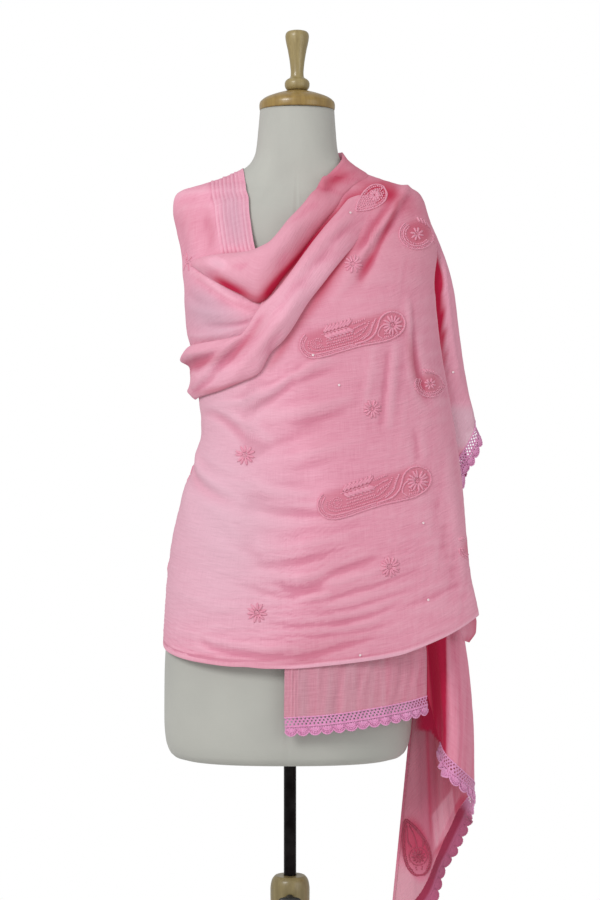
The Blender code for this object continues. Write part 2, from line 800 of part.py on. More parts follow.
def make_leg(name, turn, material):
    """Make a curved leg from the hub down to the floor, ending in a flat foot."""
    sections = []
    for reach, height, half_depth in LEG_PROFILE:
        sections.append([(reach, height - half_depth), (reach, height + half_depth)])
    toe = LEG_REACH - FOOT_TOE_LENGTH
    sections.append([(LEG_REACH - FOOT_LENGTH, 0.0), (toe, FOOT_HEIGHT)])
    sections.append([(LEG_REACH, 0.0), (LEG_REACH, FOOT_TOE_HEIGHT)])
    half = LEG_WIDTH / 2
    vertices = []
    for low, high in sections:
        for across in (-half, half):
            vertices.append((low[0], across, low[1]))
        for across in (half, -half):
            vertices.append((high[0], across, high[1]))
    faces = [(3, 2, 1, 0)]
    for section in range(len(sections) - 1):
        base = section * 4
        for corner in range(4):
            after = (corner + 1) % 4
            faces.append((base + corner, base + after, base + 4 + after, base + 4 + corner))
    top = (len(sections) - 1) * 4
    faces.append((top, top + 1, top + 2, top + 3))
    angle = math.radians(turn)
    turned = []
    for reach, across, height in vertices:
        x = reach * math.cos(angle) - across * math.sin(angle)
        y = reach * math.sin(angle) + across * math.cos(angle)
        turned.append((x * MM, y * MM, height * MM))
    return add_object(name, turned, faces, material, smooth=False)


def make_wing_screw(material):
    """Make the wing screw that clamps the pole, seen at the front of the hub."""
    front = -WING_CENTRE - SMALL_GAP
    outline = []
    for side in range(WING_SIDES):
        angle = 2 * math.pi * side / WING_SIDES
        radius = WING_RADIUS + WING_REACH * abs(math.cos(angle)) ** 3
        outline.append((radius * math.cos(angle), radius * math.sin(angle) * WING_FLATTENING))
    vertices = []
    for y in (front - WING_DEPTH, front):
        for x, z in outline:
            vertices.append((x * MM, y * MM, (KNOB_HEIGHT + z) * MM))
    faces = [tuple(range(WING_SIDES)), tuple(reversed(range(WING_SIDES, 2 * WING_SIDES)))]
    for side in range(WING_SIDES):
        after = (side + 1) % WING_SIDES
        faces.append((after, side, side + WING_SIDES, after + WING_SIDES))
    return add_object("wing_screw", vertices, faces, material)


def make_stand(form, wood, metal, plastic):
    make_torso(form)
    neck_middle = MIDDLE_AT(CAP_BASE)
    cap_middle = (neck_middle, NECK_MIDDLE_Y, CAP_BASE)
    make_turned("neck_cap", NECK_CAP_PROFILE, cap_middle, wood, NECK_CAP_SIDES)
    cap_top = CAP_BASE + NECK_CAP_PROFILE[-1][0] + SMALL_GAP
    make_turned("finial", FINIAL_PROFILE, (neck_middle, NECK_MIDDLE_Y, cap_top), wood)
    torso_bottom = TORSO_RINGS[0][0]
    flange_top = torso_bottom - SMALL_GAP
    flange_bottom = flange_top - FLANGE_HEIGHT
    flange_profile = [(0.0, FLANGE_RADIUS), (FLANGE_HEIGHT, FLANGE_RADIUS)]
    make_turned("flange", flange_profile, (0, 0, flange_bottom), metal)
    pole_bottom = HUB_TOP + SMALL_GAP
    pole_profile = [(0.0, POLE_RADIUS), (flange_bottom - SMALL_GAP - pole_bottom, POLE_RADIUS)]
    make_turned("pole", pole_profile, (0, 0, pole_bottom), metal)
    make_turned("hub", HUB_PROFILE, (0, 0, HUB_BOTTOM), wood)
    make_wing_screw(plastic)
    for number, turn in enumerate(LEG_TURNS, 1):
        make_leg(f"leg_{number}", turn, wood)


def make_shawl(cloth, lace):
    thickness = CLOTH_THICKNESS
    seam = SEAM_TURN
    columns, rows = BACK_PANEL_GRID
    turn, height = patch(BACK_PANEL_EDGES, fixed(BACK_START_TURN), fixed(SIDE_SEAM_TURN - seam),
                         closer_to_both(columns), closer_to_end(rows))
    make_sheet("back_panel", back_panel_surface(turn, height), thickness, cloth)
    columns, rows = SHOULDER_PANEL_GRID
    turn, height = patch(SHOULDER_PANEL_EDGES, fixed(SIDE_SEAM_TURN + seam), fixed(SHOULDER_END_TURN),
                         closer_to_start(columns), closer_to_end(rows))
    make_sheet("left_shoulder_panel", shoulder_panel_surface(turn, height), thickness, cloth)
    columns, rows = FRONT_PANEL_GRID
    front_right = edge_curve(FRONT_PANEL_RIGHT, -seam)
    turn, height = patch(FRONT_PANEL_EDGES, fixed(SIDE_SEAM_TURN + seam), front_right,
                         closer_to_both(columns), even(rows))
    make_sheet("front_panel", roll_side_edge(front_panel_surface(turn, height)), thickness, cloth)
    columns, rows = COWL_GRID
    grid = rolled_fold(COWL_ROLL, cowl_layer, closer_to_end(columns), rows)
    make_sheet("cowl_fold", grid, thickness, cloth)
    columns, rows = CHEST_GRID
    grid = rolled_fold(CHEST_ROLL, chest_layer, closer_to_both(columns), rows)
    make_sheet("chest_fold", grid, thickness, cloth)
    columns, rows = INNER_END_GRID
    inner_right = edge_curve(INNER_END_RIGHT, -seam)
    turn, height = patch(INNER_END_EDGES, fixed(INNER_START_TURN), inner_right,
                         closer_to_end(columns), closer_to_end(rows))
    grid = inner_end_surface(turn, height)
    make_sheet("inner_end", grid, thickness, cloth)
    make_lace("lace_front", grid, 0, columns, FRONT_LACE_POINTS, lace)
    columns, rows = SIDE_DRAPE_GRID
    drape_start = edge_curve(SIDE_DRAPE_START, seam)
    turn, height = patch(SIDE_DRAPE_EDGES, drape_start, fixed(DRAPE_END_TURN),
                         closer_to_start(columns), closer_to_end(rows))
    grid = side_drape_surface(turn, height)
    make_sheet("side_drape", grid, thickness, cloth)
    make_lace("lace_side", grid, 0, columns, LACE_POINTS, lace)
    columns, rows = TAIL_GRID
    share, up = np.meshgrid(even(columns), even(rows))
    lower = table_curves(TAIL_PLAN)[2](share)
    grid = tail_surface(share, lower + (TAIL_TOP - lower) * up)
    make_sheet("side_tail", grid, thickness, cloth)
    make_lace("lace_tail", grid, TAIL_LACE_START, columns, LACE_POINTS, lace)


def stand_on_middle():
    """Move everything so that the origin is under the middle of the object's box."""
    bpy.context.view_layer.update()
    corners = []
    for made in bpy.data.objects:
        corners += [made.matrix_world @ Vector(corner) for corner in made.bound_box]
    for axis in (0, 1):
        values = [corner[axis] for corner in corners]
        middle = (min(values) + max(values)) / 2
        for made in bpy.data.objects:
            made.location[axis] -= middle


def main():
    for made in list(bpy.data.objects):
        bpy.data.objects.remove(made, do_unlink=True)
    materials = {finish[0]: make_material(finish[0]) for finish in FINISHES}
    make_shawl(materials["shawl_cloth"], materials["crochet_lace"])
    wood = materials["varnished_wood"]
    make_stand(materials["form_cover"], wood, materials["pole_metal"], materials["black_plastic"])
    stand_on_middle()


main()
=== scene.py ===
# Looks of the embroidered shawl on its dress form. The tables are in millimetres, measured from
# the floor under the pole, as the part's source has them, and toRow() brings them to metres.
# A turn is an angle round the body: 0 its right side, 90 its back, 180 its left, 270 its front.
import math

import bpy
import numpy as np
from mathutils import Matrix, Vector
from mathutils.bvhtree import BVHTree


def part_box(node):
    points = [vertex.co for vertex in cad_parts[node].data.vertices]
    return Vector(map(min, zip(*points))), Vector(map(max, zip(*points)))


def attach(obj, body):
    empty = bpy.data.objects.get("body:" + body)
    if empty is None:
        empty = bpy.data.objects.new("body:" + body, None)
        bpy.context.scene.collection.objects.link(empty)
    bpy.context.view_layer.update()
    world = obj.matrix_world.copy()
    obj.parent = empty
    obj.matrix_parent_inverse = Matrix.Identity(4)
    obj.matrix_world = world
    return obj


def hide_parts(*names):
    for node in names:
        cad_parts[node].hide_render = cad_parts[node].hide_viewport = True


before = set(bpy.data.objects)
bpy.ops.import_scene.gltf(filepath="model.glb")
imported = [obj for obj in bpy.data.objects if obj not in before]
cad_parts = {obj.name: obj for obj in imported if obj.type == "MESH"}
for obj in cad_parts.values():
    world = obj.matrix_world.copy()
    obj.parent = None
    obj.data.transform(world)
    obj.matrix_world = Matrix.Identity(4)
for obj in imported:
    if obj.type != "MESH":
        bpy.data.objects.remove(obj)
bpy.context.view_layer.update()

poleLow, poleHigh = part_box("pole")
poleShift = np.array([(poleLow[0] + poleHigh[0]) / 2, (poleLow[1] + poleHigh[1]) / 2, 0.0])
mm = 0.001
detail = 1.0
print("shawl: frame loaded")

# The body that the cloth follows.
# height, sideways
bodyMiddle = [(560, -3.5), (1020, 3), (1260, 8), (1470, 10)]

# height, half width, front depth, back depth, squareness
torsoRings = [
    (566, 146, 94, 101, 2.4), (569, 157, 102, 109, 2.4), (577, 165, 109, 117, 2.4),
    (592, 170, 113, 122, 2.4), (620, 172.5, 115.5, 125, 2.4), (680, 173, 117, 127, 2.4),
    (740, 171, 117, 126, 2.4), (800, 168, 116, 122, 2.35), (870, 161, 112, 113, 2.3),
    (925, 148, 106, 103, 2.3), (970, 134, 98, 97, 2.25), (1020, 121, 93, 95, 2.2),
    (1065, 126, 96, 99, 2.2), (1115, 134, 104, 106, 2.2), (1165, 145, 111, 110, 2.2),
    (1215, 151, 109, 113, 2.2), (1260, 155, 100, 113, 2.2), (1300, 162, 86, 108, 2.2),
    (1328, 167, 74, 97, 2.2), (1343, 166, 64, 85, 2.1), (1351, 160, 60, 79, 2.05),
    (1357, 148, 56, 73, 2), (1364, 130, 53, 68, 2), (1374, 101, 51, 62, 2), (1385, 78, 50.5, 59, 2),
    (1397, 64, 50.5, 57, 2), (1412, 57.5, 50, 55, 2), (1445, 54, 48, 52, 2), (1470, 52, 47, 50, 2),
]
bust = {"height": 1165.0, "rise": 14.0, "turn": 37.0, "spread": 22.0, "reach": 55.0}

# height, left, right outer, right under, front depth, back depth, squareness
clothRings = [
    (560, 174, 290, 214, 132, 139, 2.4), (650, 174, 288, 214, 132, 137, 2.4),
    (740, 173, 285, 212, 132, 135, 2.4), (773, 171.5, 279, 210, 132, 133, 2.4),
    (817, 169, 266, 208, 131, 130, 2.35), (870, 163, 258, 206, 129, 125, 2.3),
    (899, 157, 253, 204, 128, 122, 2.3), (925, 150.5, 247, 202, 127, 119, 2.3),
    (968, 138, 238, 199, 126, 115, 2.25), (1020, 124.5, 229, 196, 127, 113, 2.2),
    (1064, 128.5, 221, 192, 130, 114, 2.2), (1115, 137.5, 212, 188, 134, 116, 2.2),
    (1165, 149, 205, 184, 135, 117, 2.2), (1215, 154, 200, 181, 127, 119, 2.2),
    (1260, 158, 197, 179, 110, 117, 2.2), (1300, 166, 187, 175, 90, 112, 2.2),
    (1328, 171, 178, 172, 77, 101, 2.2), (1343, 170, 173, 170.5, 67, 88.5, 2.1),
    (1351, 167, 168, 167, 63, 82, 2.05), (1357, 158.5, 157, 155, 58.5, 75, 2),
    (1364, 133, 132, 131.5, 53.5, 68.7, 2), (1374, 102, 102, 102, 51.3, 62.4, 2),
    (1385, 78.3, 78.3, 78.3, 50.7, 59.2, 2), (1397, 64.3, 64.3, 64.3, 50.7, 57.2, 2),
    (1412, 57.8, 57.8, 57.8, 50.2, 55.2, 2), (1445, 54.3, 54.3, 54.3, 48.2, 52.2, 2),
]

# height, half width, back depth
sideDrapeRings = [
    (600, 240, 166), (840, 242, 160), (953, 241, 154), (1000, 246, 151), (1030, 247, 149),
    (1072, 237, 145), (1110, 229, 141), (1150, 223, 137), (1210, 217, 131), (1263, 203, 124),
    (1300, 190, 116), (1328, 178.5, 102), (1343, 173.3, 89), (1351, 168.3, 82.3),
    (1357, 157.3, 75.3), (1364, 132.2, 69), (1374, 102.3, 62.6), (1385, 78.5, 59.4),
    (1397, 64.4, 57.3), (1412, 57.9, 55.3), (1445, 54.4, 52.3),
]

# turn, lower edge, upper edge
backEdges = [
    (20, 665, 1404), (50, 652, 1398), (90, 655, 1392), (120, 680, 1391), (145, 716, 1390),
    (165, 735, 1389),
]
shoulderEdges = [
    (165, 1101, 1389), (180, 1101, 1388), (188, 1103, 1386.5), (209, 1118, 1386.5),
    (220, 1128, 1386.5), (243, 1152, 1386.5), (254, 1160, 1386.5),
]
frontEdges = [
    (165, 735, 1099), (180, 729, 1099), (200, 718, 1096), (222, 709, 1098), (241, 705, 1118),
    (246, 705, 1150), (251, 704, 1190), (258, 703, 1222), (264, 703, 1242), (270, 703, 1262),
    (279, 704, 1288), (288, 706, 1308), (302, 710, 1337), (320, 719, 1362), (333, 740, 1374),
    (345, 768, 1383), (360, 800, 1389),
]
innerEndEdges = [
    (268, 637, 1240), (290, 640, 1330), (323, 652, 1378), (338, 660, 1388), (360, 670, 1398),
]
sideDrapeEdges = [
    (-12, 958, 1411), (-5, 1006, 1411), (0, 1046, 1411), (5, 1044, 1411), (12, 1004, 1409),
    (25, 935, 1402), (45, 868, 1388), (65, 850, 1356), (85, 872, 1292),
]

# height, turn of a side edge
frontRight = [
    (700, 345), (880, 346), (985, 350), (1065, 349.5), (1140, 347), (1215, 345), (1318, 359),
    (1400, 359),
]
innerEndRight = [(600, 338), (1240, 338), (1320, 356), (1400, 356)]
sideDrapeStart = [(900, -12), (1205, -12), (1320, 0), (1415, 0)]
neckSelvedge = [
    (1100, 254), (1236, 251), (1262, 243), (1290, 236.5), (1311, 232), (1331, 227.5), (1345, 222.5),
    (1357, 217), (1364, 212.7), (1370, 209.3), (1376, 205.1), (1380, 201), (1384, 194.7),
    (1386.5, 188),
]

# turn, lower, upper, bulge, valley
cowlRoll = [
    (204, 1247, 1254, 2, 0), (215, 1232, 1258, 8, 0), (238, 1204, 1260, 16, 0),
    (250, 1191, 1269, 23, 0), (264, 1228, 1304, 24, 0), (279, 1272, 1329, 19, 0),
    (302, 1318, 1361, 12, 0), (323, 1352, 1383, 8, 0), (345, 1370, 1400, 4, 0),
    (360, 1380, 1411, 3, 0),
]
chestRoll = [
    (166, 1084, 1110, 3, 0.2), (173, 1077, 1122, 8, 0.5), (184, 1066, 1134, 14, 0.7),
    (200, 1068, 1140, 13, 0.6), (222, 1074, 1143, 12, 0.5), (241, 1087, 1150, 14, 0.4),
    (251, 1098, 1184, 17, 0.3), (258, 1126, 1201, 18, 0.2), (264, 1140, 1220, 17, 0.1),
    (279, 1194, 1264, 15, 0), (302, 1255, 1311, 11, 0), (323, 1298, 1346, 6, 0),
    (345, 1322, 1362, 3, 0), (360, 1339, 1372, 2, 0),
]

# Folds as curves through three points of the front view.
# start x, start z, middle x, middle z, end x, end z, rise, width, and steepness of one side if any
frontFolds = [
    (166, 1364, 134, 1312, 92, 1248, 8, 5, 0.3), (139, 1337, 116, 1302, 89, 1264, -2, 6),
    (148, 1331, 129, 1288, 102, 1237, -2.6, 5), (114, 1264, 103, 1242, 92, 1218, -4.5, 7),
    (88, 1261, 77, 1224, 54, 1190, 2.5, 9), (159, 1197, 162, 1136, 170, 1073, 4, 7, 0.6),
    (162, 1156, 169, 1109, 185, 1060, -5.5, 7), (140, 1140, 136, 1089, 132, 1029, 2, 6),
    (130, 1136, 126, 1082, 119, 1022, -1.8, 6), (111, 1136, 107, 1096, 97, 1049, 1.6, 7),
    (196, 1197, 206, 1130, 218, 1035, -2.5, 8), (-91, 1060, -37, 1070, 44, 1119, 5, 11, 0.5),
    (-67, 1053, -26, 1062, 14, 1103, -4, 6), (-10, 1068, 21, 1092, 75, 1105, -2.2, 8),
    (-53, 1029, 14, 1046, 84, 1065, 2.2, 12), (-5, 1029, 41, 1038, 95, 1060, -2, 9),
    (-118, 1043, -86, 1037, -45, 998, -5, 7), (-102, 1051, -67, 1035, -26, 1008, 3.5, 8),
    (-53, 973, -24, 1000, 38, 1025, -2.6, 9), (-26, 960, 27, 992, 95, 1008, 1.8, 11),
    (-133, 992, -126, 949, -77, 924, -8, 9), (-125, 999, -112, 960, -61, 937, 6, 9, 0.4),
    (-119, 986, -99, 967, -59, 955, -3.4, 5), (-102, 955, -61, 936, -5, 924, -2.8, 6),
    (-91, 963, -37, 944, 27, 936, 2.2, 7), (-72, 928, -24, 914, 44, 910, -4, 7),
    (-112, 925, -72, 904, 1, 895, 2.6, 8), (-137, 968, -139, 928, -126, 887, 2.5, 9),
    (-80, 879, -56, 862, -29, 843, -2.8, 9), (-91, 901, -72, 885, -67, 863, 2, 7),
    (-59, 839, 1, 844, 70, 862, -2.4, 6), (-37, 860, 14, 867, 81, 879, 1.8, 9),
    (44, 826, 81, 838, 119, 852, -3.6, 6), (54, 816, 101, 828, 143, 843, 2, 5),
    (-16, 816, 14, 807, 46, 819, -4.6, 8), (-37, 828, 9, 824, 54, 834, 2.2, 6),
    (-67, 816, -29, 804, 14, 796, -2.4, 5), (14, 796, 48, 799, 44, 804, 1.6, 5),
    (14, 788, 84, 804, 169, 832, -2, 4), (38, 776, 97, 788, 181, 815, -1.8, 4),
    (-26, 764, 38, 761, 111, 777, -2.2, 5), (54, 761, 97, 770, 148, 791, -2.6, 4),
    (122, 777, 182, 793, 232, 816, -1.4, 5), (9, 748, 68, 748, 138, 764, -1.8, 4),
    (-115, 739, -77, 723, 19, 718, -4.2, 6), (-147, 750, -67, 734, 14, 731, 2, 6),
    (11, 718, 44, 726, 84, 739, -3.6, 5), (57, 729, 84, 735, 111, 745, -1.8, 4),
    (-59, 707, -5, 707, 57, 723, -2.4, 4), (-158, 733, -120, 719, -67, 711, -1.6, 5),
    (-158, 807, -107, 788, -37, 780, 1.8, 9), (-164, 847, -114, 828, -37, 817, -1.6, 10),
    (-139, 901, -102, 867, -37, 852, 1.8, 12), (189, 968, 205, 887, 224, 793, -2, 12),
    (210, 1008, 224, 901, 240, 793, 2.6, 9), (165, 1030, 170, 995, 173, 979, -1.5, 6),
]
# Folds of the hidden back, as curves through three points, with x as seen from the front.
backFolds = [
    (-120, 1360, -40, 1190, 130, 1120, 6, 15), (-140, 1290, -50, 1090, 140, 1010, 6, 16),
    (-150, 1180, -60, 980, 150, 900, 6, 18), (-140, 1010, -40, 880, 150, 800, 5, 18),
    (-150, 880, -30, 770, 120, 720, 5, 18), (-60, 1350, -20, 1240, 60, 1180, -3, 9),
    (-110, 1130, -20, 1010, 80, 960, -3, 10), (-100, 960, -10, 850, 90, 810, -2.5, 10),
    (60, 1360, 50, 1300, 20, 1240, 4, 9), (120, 1330, 90, 1270, 60, 1230, 4, 9),
    (-130, 780, -60, 730, 20, 700, 2, 7),
]

# The tail's plan: share of the way, x, y, lower edge, lean to the left, share of the pull.
tailPlan = [
    (0, 189, -75, 660, 0, 1), (0.07, 197, -42, 640, 0, 1), (0.13, 203, -22, 610, 0, 1),
    (0.18, 208, -32, 592, 0, 1), (0.24, 214, -52, 578, 0, 1), (0.31, 226, -61, 566, 0, 1),
    (0.39, 241, -50, 551, 0, 1), (0.48, 257, -12, 530, 0, 1), (0.58, 254, 26, 511, 0, 1),
    (0.69, 236, 50, 476, 0, 0.8), (0.8, 217, 48, 427, 0.02, 0.5), (0.9, 200, 36, 372, 0.05, 0.2),
    (1, 173, 54, 318, 0.1, 0),
]
tailPull = [(560, 0), (590, 0), (673, 5.5), (725, 12.5), (770, 19), (860, 30)]
tail = {"leanHeight": 620.0, "spreadLow": 760.0, "spreadHigh": 1040.0, "top": 1190.0,
        "startTurn": 338.0, "endTurn": 379.4}

layers = {"under": 1.7, "outer": 5.0, "cowl": 4.9, "chest": 7.6, "seam": 0.15,
          "hiddenDrop": 5.0, "hiddenLow": (712.0, 770.0), "hiddenHigh": (1260.0, 1180.0)}


def smoothCurve(knots, values):  # never overshoots between two knots
    x = np.asarray(knots, float)
    y = np.asarray(values, float)
    step = np.diff(x)
    slope = np.diff(y) / step
    sameWay = slope[:-1] * slope[1:] > 0
    before = 2 * step[1:] + step[:-1]
    after = step[1:] + 2 * step[:-1]
    safeBefore = np.where(sameWay, slope[:-1], 1.0)
    safeAfter = np.where(sameWay, slope[1:], 1.0)
    middle = (before + after) / (before / safeBefore + after / safeAfter)
    tangent = np.concatenate([slope[:1], np.where(sameWay, middle, 0.0), slope[-1:]])

    def valueAt(where):
        where = np.clip(np.asarray(where, float), x[0], x[-1])
        i = np.clip(np.searchsorted(x, where) - 1, 0, len(step) - 1)
        t = (where - x[i]) / step[i]
        fromStart = (2 * t**3 - 3 * t**2 + 1) * y[i] + (t**3 - 2 * t**2 + t) * step[i] * tangent[i]
        fromEnd = (3 * t**2 - 2 * t**3) * y[i + 1] + (t**3 - t**2) * step[i] * tangent[i + 1]
        return fromStart + fromEnd

    return valueAt


def tableCurves(table):  # one curve for each column after the first
    columns = list(zip(*table))
    return [smoothCurve(columns[0], column) for column in columns[1:]]


middleAt = tableCurves(bodyMiddle)[0]
torsoAt = tableCurves(torsoRings)
clothAt = tableCurves(clothRings)
sideDrapeAt = tableCurves(sideDrapeRings)
tailAt = tableCurves(tailPlan)


def toRow(points):
    return np.asarray(points, float) * mm + poleShift


def unit(vectors):
    return vectors / np.maximum(np.linalg.norm(vectors, axis=-1, keepdims=True), 1e-9)


def blend(start, end, value):
    share = np.clip((value - start) / (end - start), 0, 1)
    return share * share * (3 - 2 * share)


def even(count):
    return np.linspace(0, 1, max(2, int(round(count))))


def ringPoint(turn, height, left, right, front, back, power):
    angle = np.radians(turn)
    halfWidth = np.where(np.cos(angle) > 0, right, left)
    depth = np.where(np.sin(angle) > 0, back, front)
    across = np.abs(np.cos(angle) / halfWidth) ** power
    along = np.abs(np.sin(angle) / depth) ** power
    radius = (across + along) ** (-1 / power)
    x = middleAt(height) + radius * np.cos(angle)
    return np.stack([x, radius * np.sin(angle), height], axis=-1)


def torsoPoint(turn, height):
    halfWidth, front, back, power = [curve(height) for curve in torsoAt]
    point = ringPoint(turn, height, halfWidth, halfWidth, front, back, power)
    rise = 0.0
    for side in (-1, 1):
        away = (turn - 270 - side * bust["turn"]) / bust["spread"]
        above = (height - bust["height"]) / bust["reach"]
        rise = rise + bust["rise"] * np.exp(-(away**2) - above**2)
    point[..., 0] += rise * np.cos(np.radians(turn))
    point[..., 1] += rise * np.sin(np.radians(turn))
    return point


def clothPoint(turn, height, rightColumn):
    left, *right, front, back, power = [curve(height) for curve in clothAt]
    return ringPoint(turn, height, left, [left, *right][rightColumn], front, back, power)


def outerPoint(turn, height):  # round the outermost layer
    return clothPoint(turn, height, 1)


def underPoint(turn, height):  # round the inner end, under it
    return clothPoint(turn, height, 2)


def snugPoint(turn, height):  # close round both sides
    return clothPoint(turn, height, 0)


def sideDrapePoint(turn, height):
    halfWidth, back = [curve(height) for curve in sideDrapeAt]
    return ringPoint(turn, height, halfWidth, halfWidth, back, back, clothAt[5](height))


def lifted(surface, turn, height, lift):  # out along the surface's own normals
    point = surface(turn, height)
    roundWay = surface(turn + 0.4, height) - surface(turn - 0.4, height)
    upWay = surface(turn, height + 0.8) - surface(turn, height - 0.8)
    return point + unit(np.cross(roundWay, upWay)) * np.asarray(lift)[..., None]


def foldRise(x, z, folds):
    steps = np.linspace(0, 1, 25)
    total = np.zeros_like(x)
    for startX, startZ, middleX, middleZ, endX, endZ, rise, width, *steep in folds:
        steepness = steep[0] if steep else 0.0
        weights = [(1 - steps) ** 2, 2 * steps * (1 - steps), steps**2]
        bendX = 2 * middleX - (startX + endX) / 2
        bendZ = 2 * middleZ - (startZ + endZ) / 2
        lineX = weights[0] * startX + weights[1] * bendX + weights[2] * endX
        lineZ = weights[0] * startZ + weights[1] * bendZ + weights[2] * endZ
        nearest = np.full(x.shape, 1e12)
        where = np.zeros(x.shape)
        side = np.zeros(x.shape)
        for i in range(len(steps) - 1):  # distance to each short piece of the curve
            stepX = lineX[i + 1] - lineX[i]
            stepZ = lineZ[i + 1] - lineZ[i]
            awayX, awayZ = x - lineX[i], z - lineZ[i]
            t = np.clip((awayX * stepX + awayZ * stepZ) / (stepX**2 + stepZ**2), 0, 1)
            squared = (awayX - t * stepX) ** 2 + (awayZ - t * stepZ) ** 2
            closer = squared < nearest
            nearest = np.where(closer, squared, nearest)
            where = np.where(closer, steps[i] + t * steps[1], where)
            side = np.where(closer, stepX * awayZ - stepZ * awayX, side)
        fade = np.sin(np.pi * (0.04 + 0.92 * where)) ** 0.7
        narrow = 1 - steepness * blend(-0.5, 0.5, side / (np.sqrt(nearest) + 0.5) / 10)
        total = total + rise * fade * np.exp(-nearest / (width * narrow) ** 2)
    return total


def crinkle(x, z, size, seed, along=(1.0, 0.25), pitch=26.0):  # soft uneven ripples
    draw = np.random.default_rng(seed)
    total = np.zeros_like(x)
    for octave in range(5):
        scale = pitch / 1.55**octave
        for _ in range(4):
            lean = draw.normal(0, 0.28)
            across = np.array([-along[1] + lean, along[0]])
            across = across / np.linalg.norm(across)
            runX, runZ = draw.normal(0, 0.006, 2)
            swing = 1.6 * np.sin(runX * x + runZ * z + draw.uniform(0, 6.28))
            wave = (across[0] * x + across[1] * z) * 6.28 / (scale * draw.uniform(0.8, 1.3))
            fade = 0.5 + 0.5 * np.sin(0.021 * x * draw.uniform(0.6, 1.4) + 0.013 * z
                                      + draw.uniform(0, 6.28))
            total = total + fade * np.sin(wave + swing + draw.uniform(0, 6.28)) / 1.9**octave
    return size * total / 3.2


profileHeights = np.arange(555.0, 1446.0, 1.0)
profileSteps = np.hypot(np.diff(profileHeights), np.diff(clothAt[0](profileHeights)))
profileLengths = np.concatenate([[0.0], np.cumsum(profileSteps)])


def betweenEdges(lower, upper, share):  # even shares of the outline's length
    low = np.interp(lower, profileHeights, profileLengths)
    high = np.interp(upper, profileHeights, profileLengths)
    return np.interp(low + (high - low) * share, profileLengths, profileHeights)


def gridShares(piece):  # even steps along a piece's grid and up it
    return even(piece["columns"] * detail), even(piece["rows"] * detail)


def patch(edges, start, end, shares, upShares):  # turns and heights of a sheet's grid
    lowerAt, upperAt = tableCurves(edges)
    across, up = np.meshgrid(shares, upShares)
    turn = start(1000.0) + (end(1000.0) - start(1000.0)) * across
    for _ in range(12):
        height = betweenEdges(lowerAt(turn), upperAt(turn), up)
        turn = start(height) + (end(height) - start(height)) * across
    return turn, betweenEdges(lowerAt(turn), upperAt(turn), up)


def fixed(turn):
    return lambda height: turn + 0.0 * np.asarray(height)


def edgeCurve(table, shift=0.0):
    curve = tableCurves(table)[0]
    return lambda height: curve(height) + shift


def gridNormals(grid):  # columns run round the body, rows run up it
    return unit(np.cross(np.gradient(grid, axis=1), np.gradient(grid, axis=0)))


def turnEdge(grid, side, radius, run, angles=(35, 70, 105, 140, 172)):  # a hem turned inside
    normal = gridNormals(grid)
    if side in ("lower", "upper"):
        grid, normal = grid.transpose(1, 0, 2), normal.transpose(1, 0, 2)
    if side in ("left", "lower"):
        grid, normal = grid[:, ::-1], normal[:, ::-1]
    edge = grid[:, -1]
    along = unit(edge - grid[:, -2])
    normal = normal[:, -1]
    radius = np.broadcast_to(np.asarray(radius, float).reshape(-1, 1), (len(edge), 1))
    centre = edge - normal * radius
    added = [centre + radius * (normal * math.cos(a) + along * math.sin(a))
             for a in np.radians(angles)]
    for step in (0.35, 0.7, 1.0):
        added.append(added[len(angles) - 1] - along * run * step)
    grid = np.concatenate([grid, np.stack(added, axis=1)], axis=1)
    if side in ("left", "lower"):
        grid = grid[:, ::-1]
    if side in ("lower", "upper"):
        grid = grid.transpose(1, 0, 2)
    return grid


def turnHem(grid, side, piece):
    return turnEdge(grid, side, piece["hemRadius"], piece["hemRun"])


def meshPiece(name, points, faces, material, attributes=None):
    mesh = bpy.data.meshes.new(name)
    points = toRow(points).reshape(-1, 3)
    corners = faces.shape[1]
    mesh.vertices.add(len(points))
    mesh.vertices.foreach_set("co", points.ravel())
    mesh.loops.add(faces.size)
    mesh.loops.foreach_set("vertex_index", faces.ravel())
    mesh.polygons.add(len(faces))
    mesh.polygons.foreach_set("loop_start", np.arange(0, faces.size, corners))
    mesh.polygons.foreach_set("loop_total", np.full(len(faces), corners))
    mesh.materials.append(material)
    mesh.update(calc_edges=True)
    mesh.validate()
    for key, values in (attributes or {}).items():
        layer = mesh.attributes.new(key, "FLOAT_VECTOR", "POINT")
        layer.data.foreach_set("vector", values.ravel())
    mesh.shade_smooth()
    made = bpy.data.objects.new(name, mesh)
    bpy.context.scene.collection.objects.link(made)
    return made


def gridFaces(rows, columns, offset=0):
    corner = (np.arange(rows - 1)[:, None] * columns + np.arange(columns - 1)).ravel() + offset
    return np.stack([corner, corner + 1, corner + columns + 1, corner + columns], axis=1)


def tubeFaces(rows, sides, offset):  # a grid that closes round
    row = np.arange(rows - 1)[:, None] * sides + offset
    corner = (row + np.arange(sides)).ravel()
    after = (row + (np.arange(sides) + 1) % sides).ravel()
    return np.stack([corner, after, after + sides, corner + sides], axis=1)


def gridPiece(name, grid, material, attributes=None):
    return meshPiece(name, grid, gridFaces(*grid.shape[:2]), material, attributes)


def runLengths(points):  # how far along a line of points each one lies
    steps = np.linalg.norm(np.diff(points, axis=0), axis=1)
    return np.concatenate([[0.0], np.cumsum(steps)])


def clothPlace(grid):  # how far each point lies along and up the cloth, in mm
    across = np.linalg.norm(np.diff(grid, axis=1), axis=2)
    up = np.linalg.norm(np.diff(grid, axis=0), axis=2)
    u = np.concatenate([np.zeros((len(grid), 1)), np.cumsum(across, axis=1)], axis=1)
    v = np.concatenate([np.zeros((1, grid.shape[1])), np.cumsum(up, axis=0)])
    return np.stack([u - u.mean(), v, 0 * u], axis=-1)


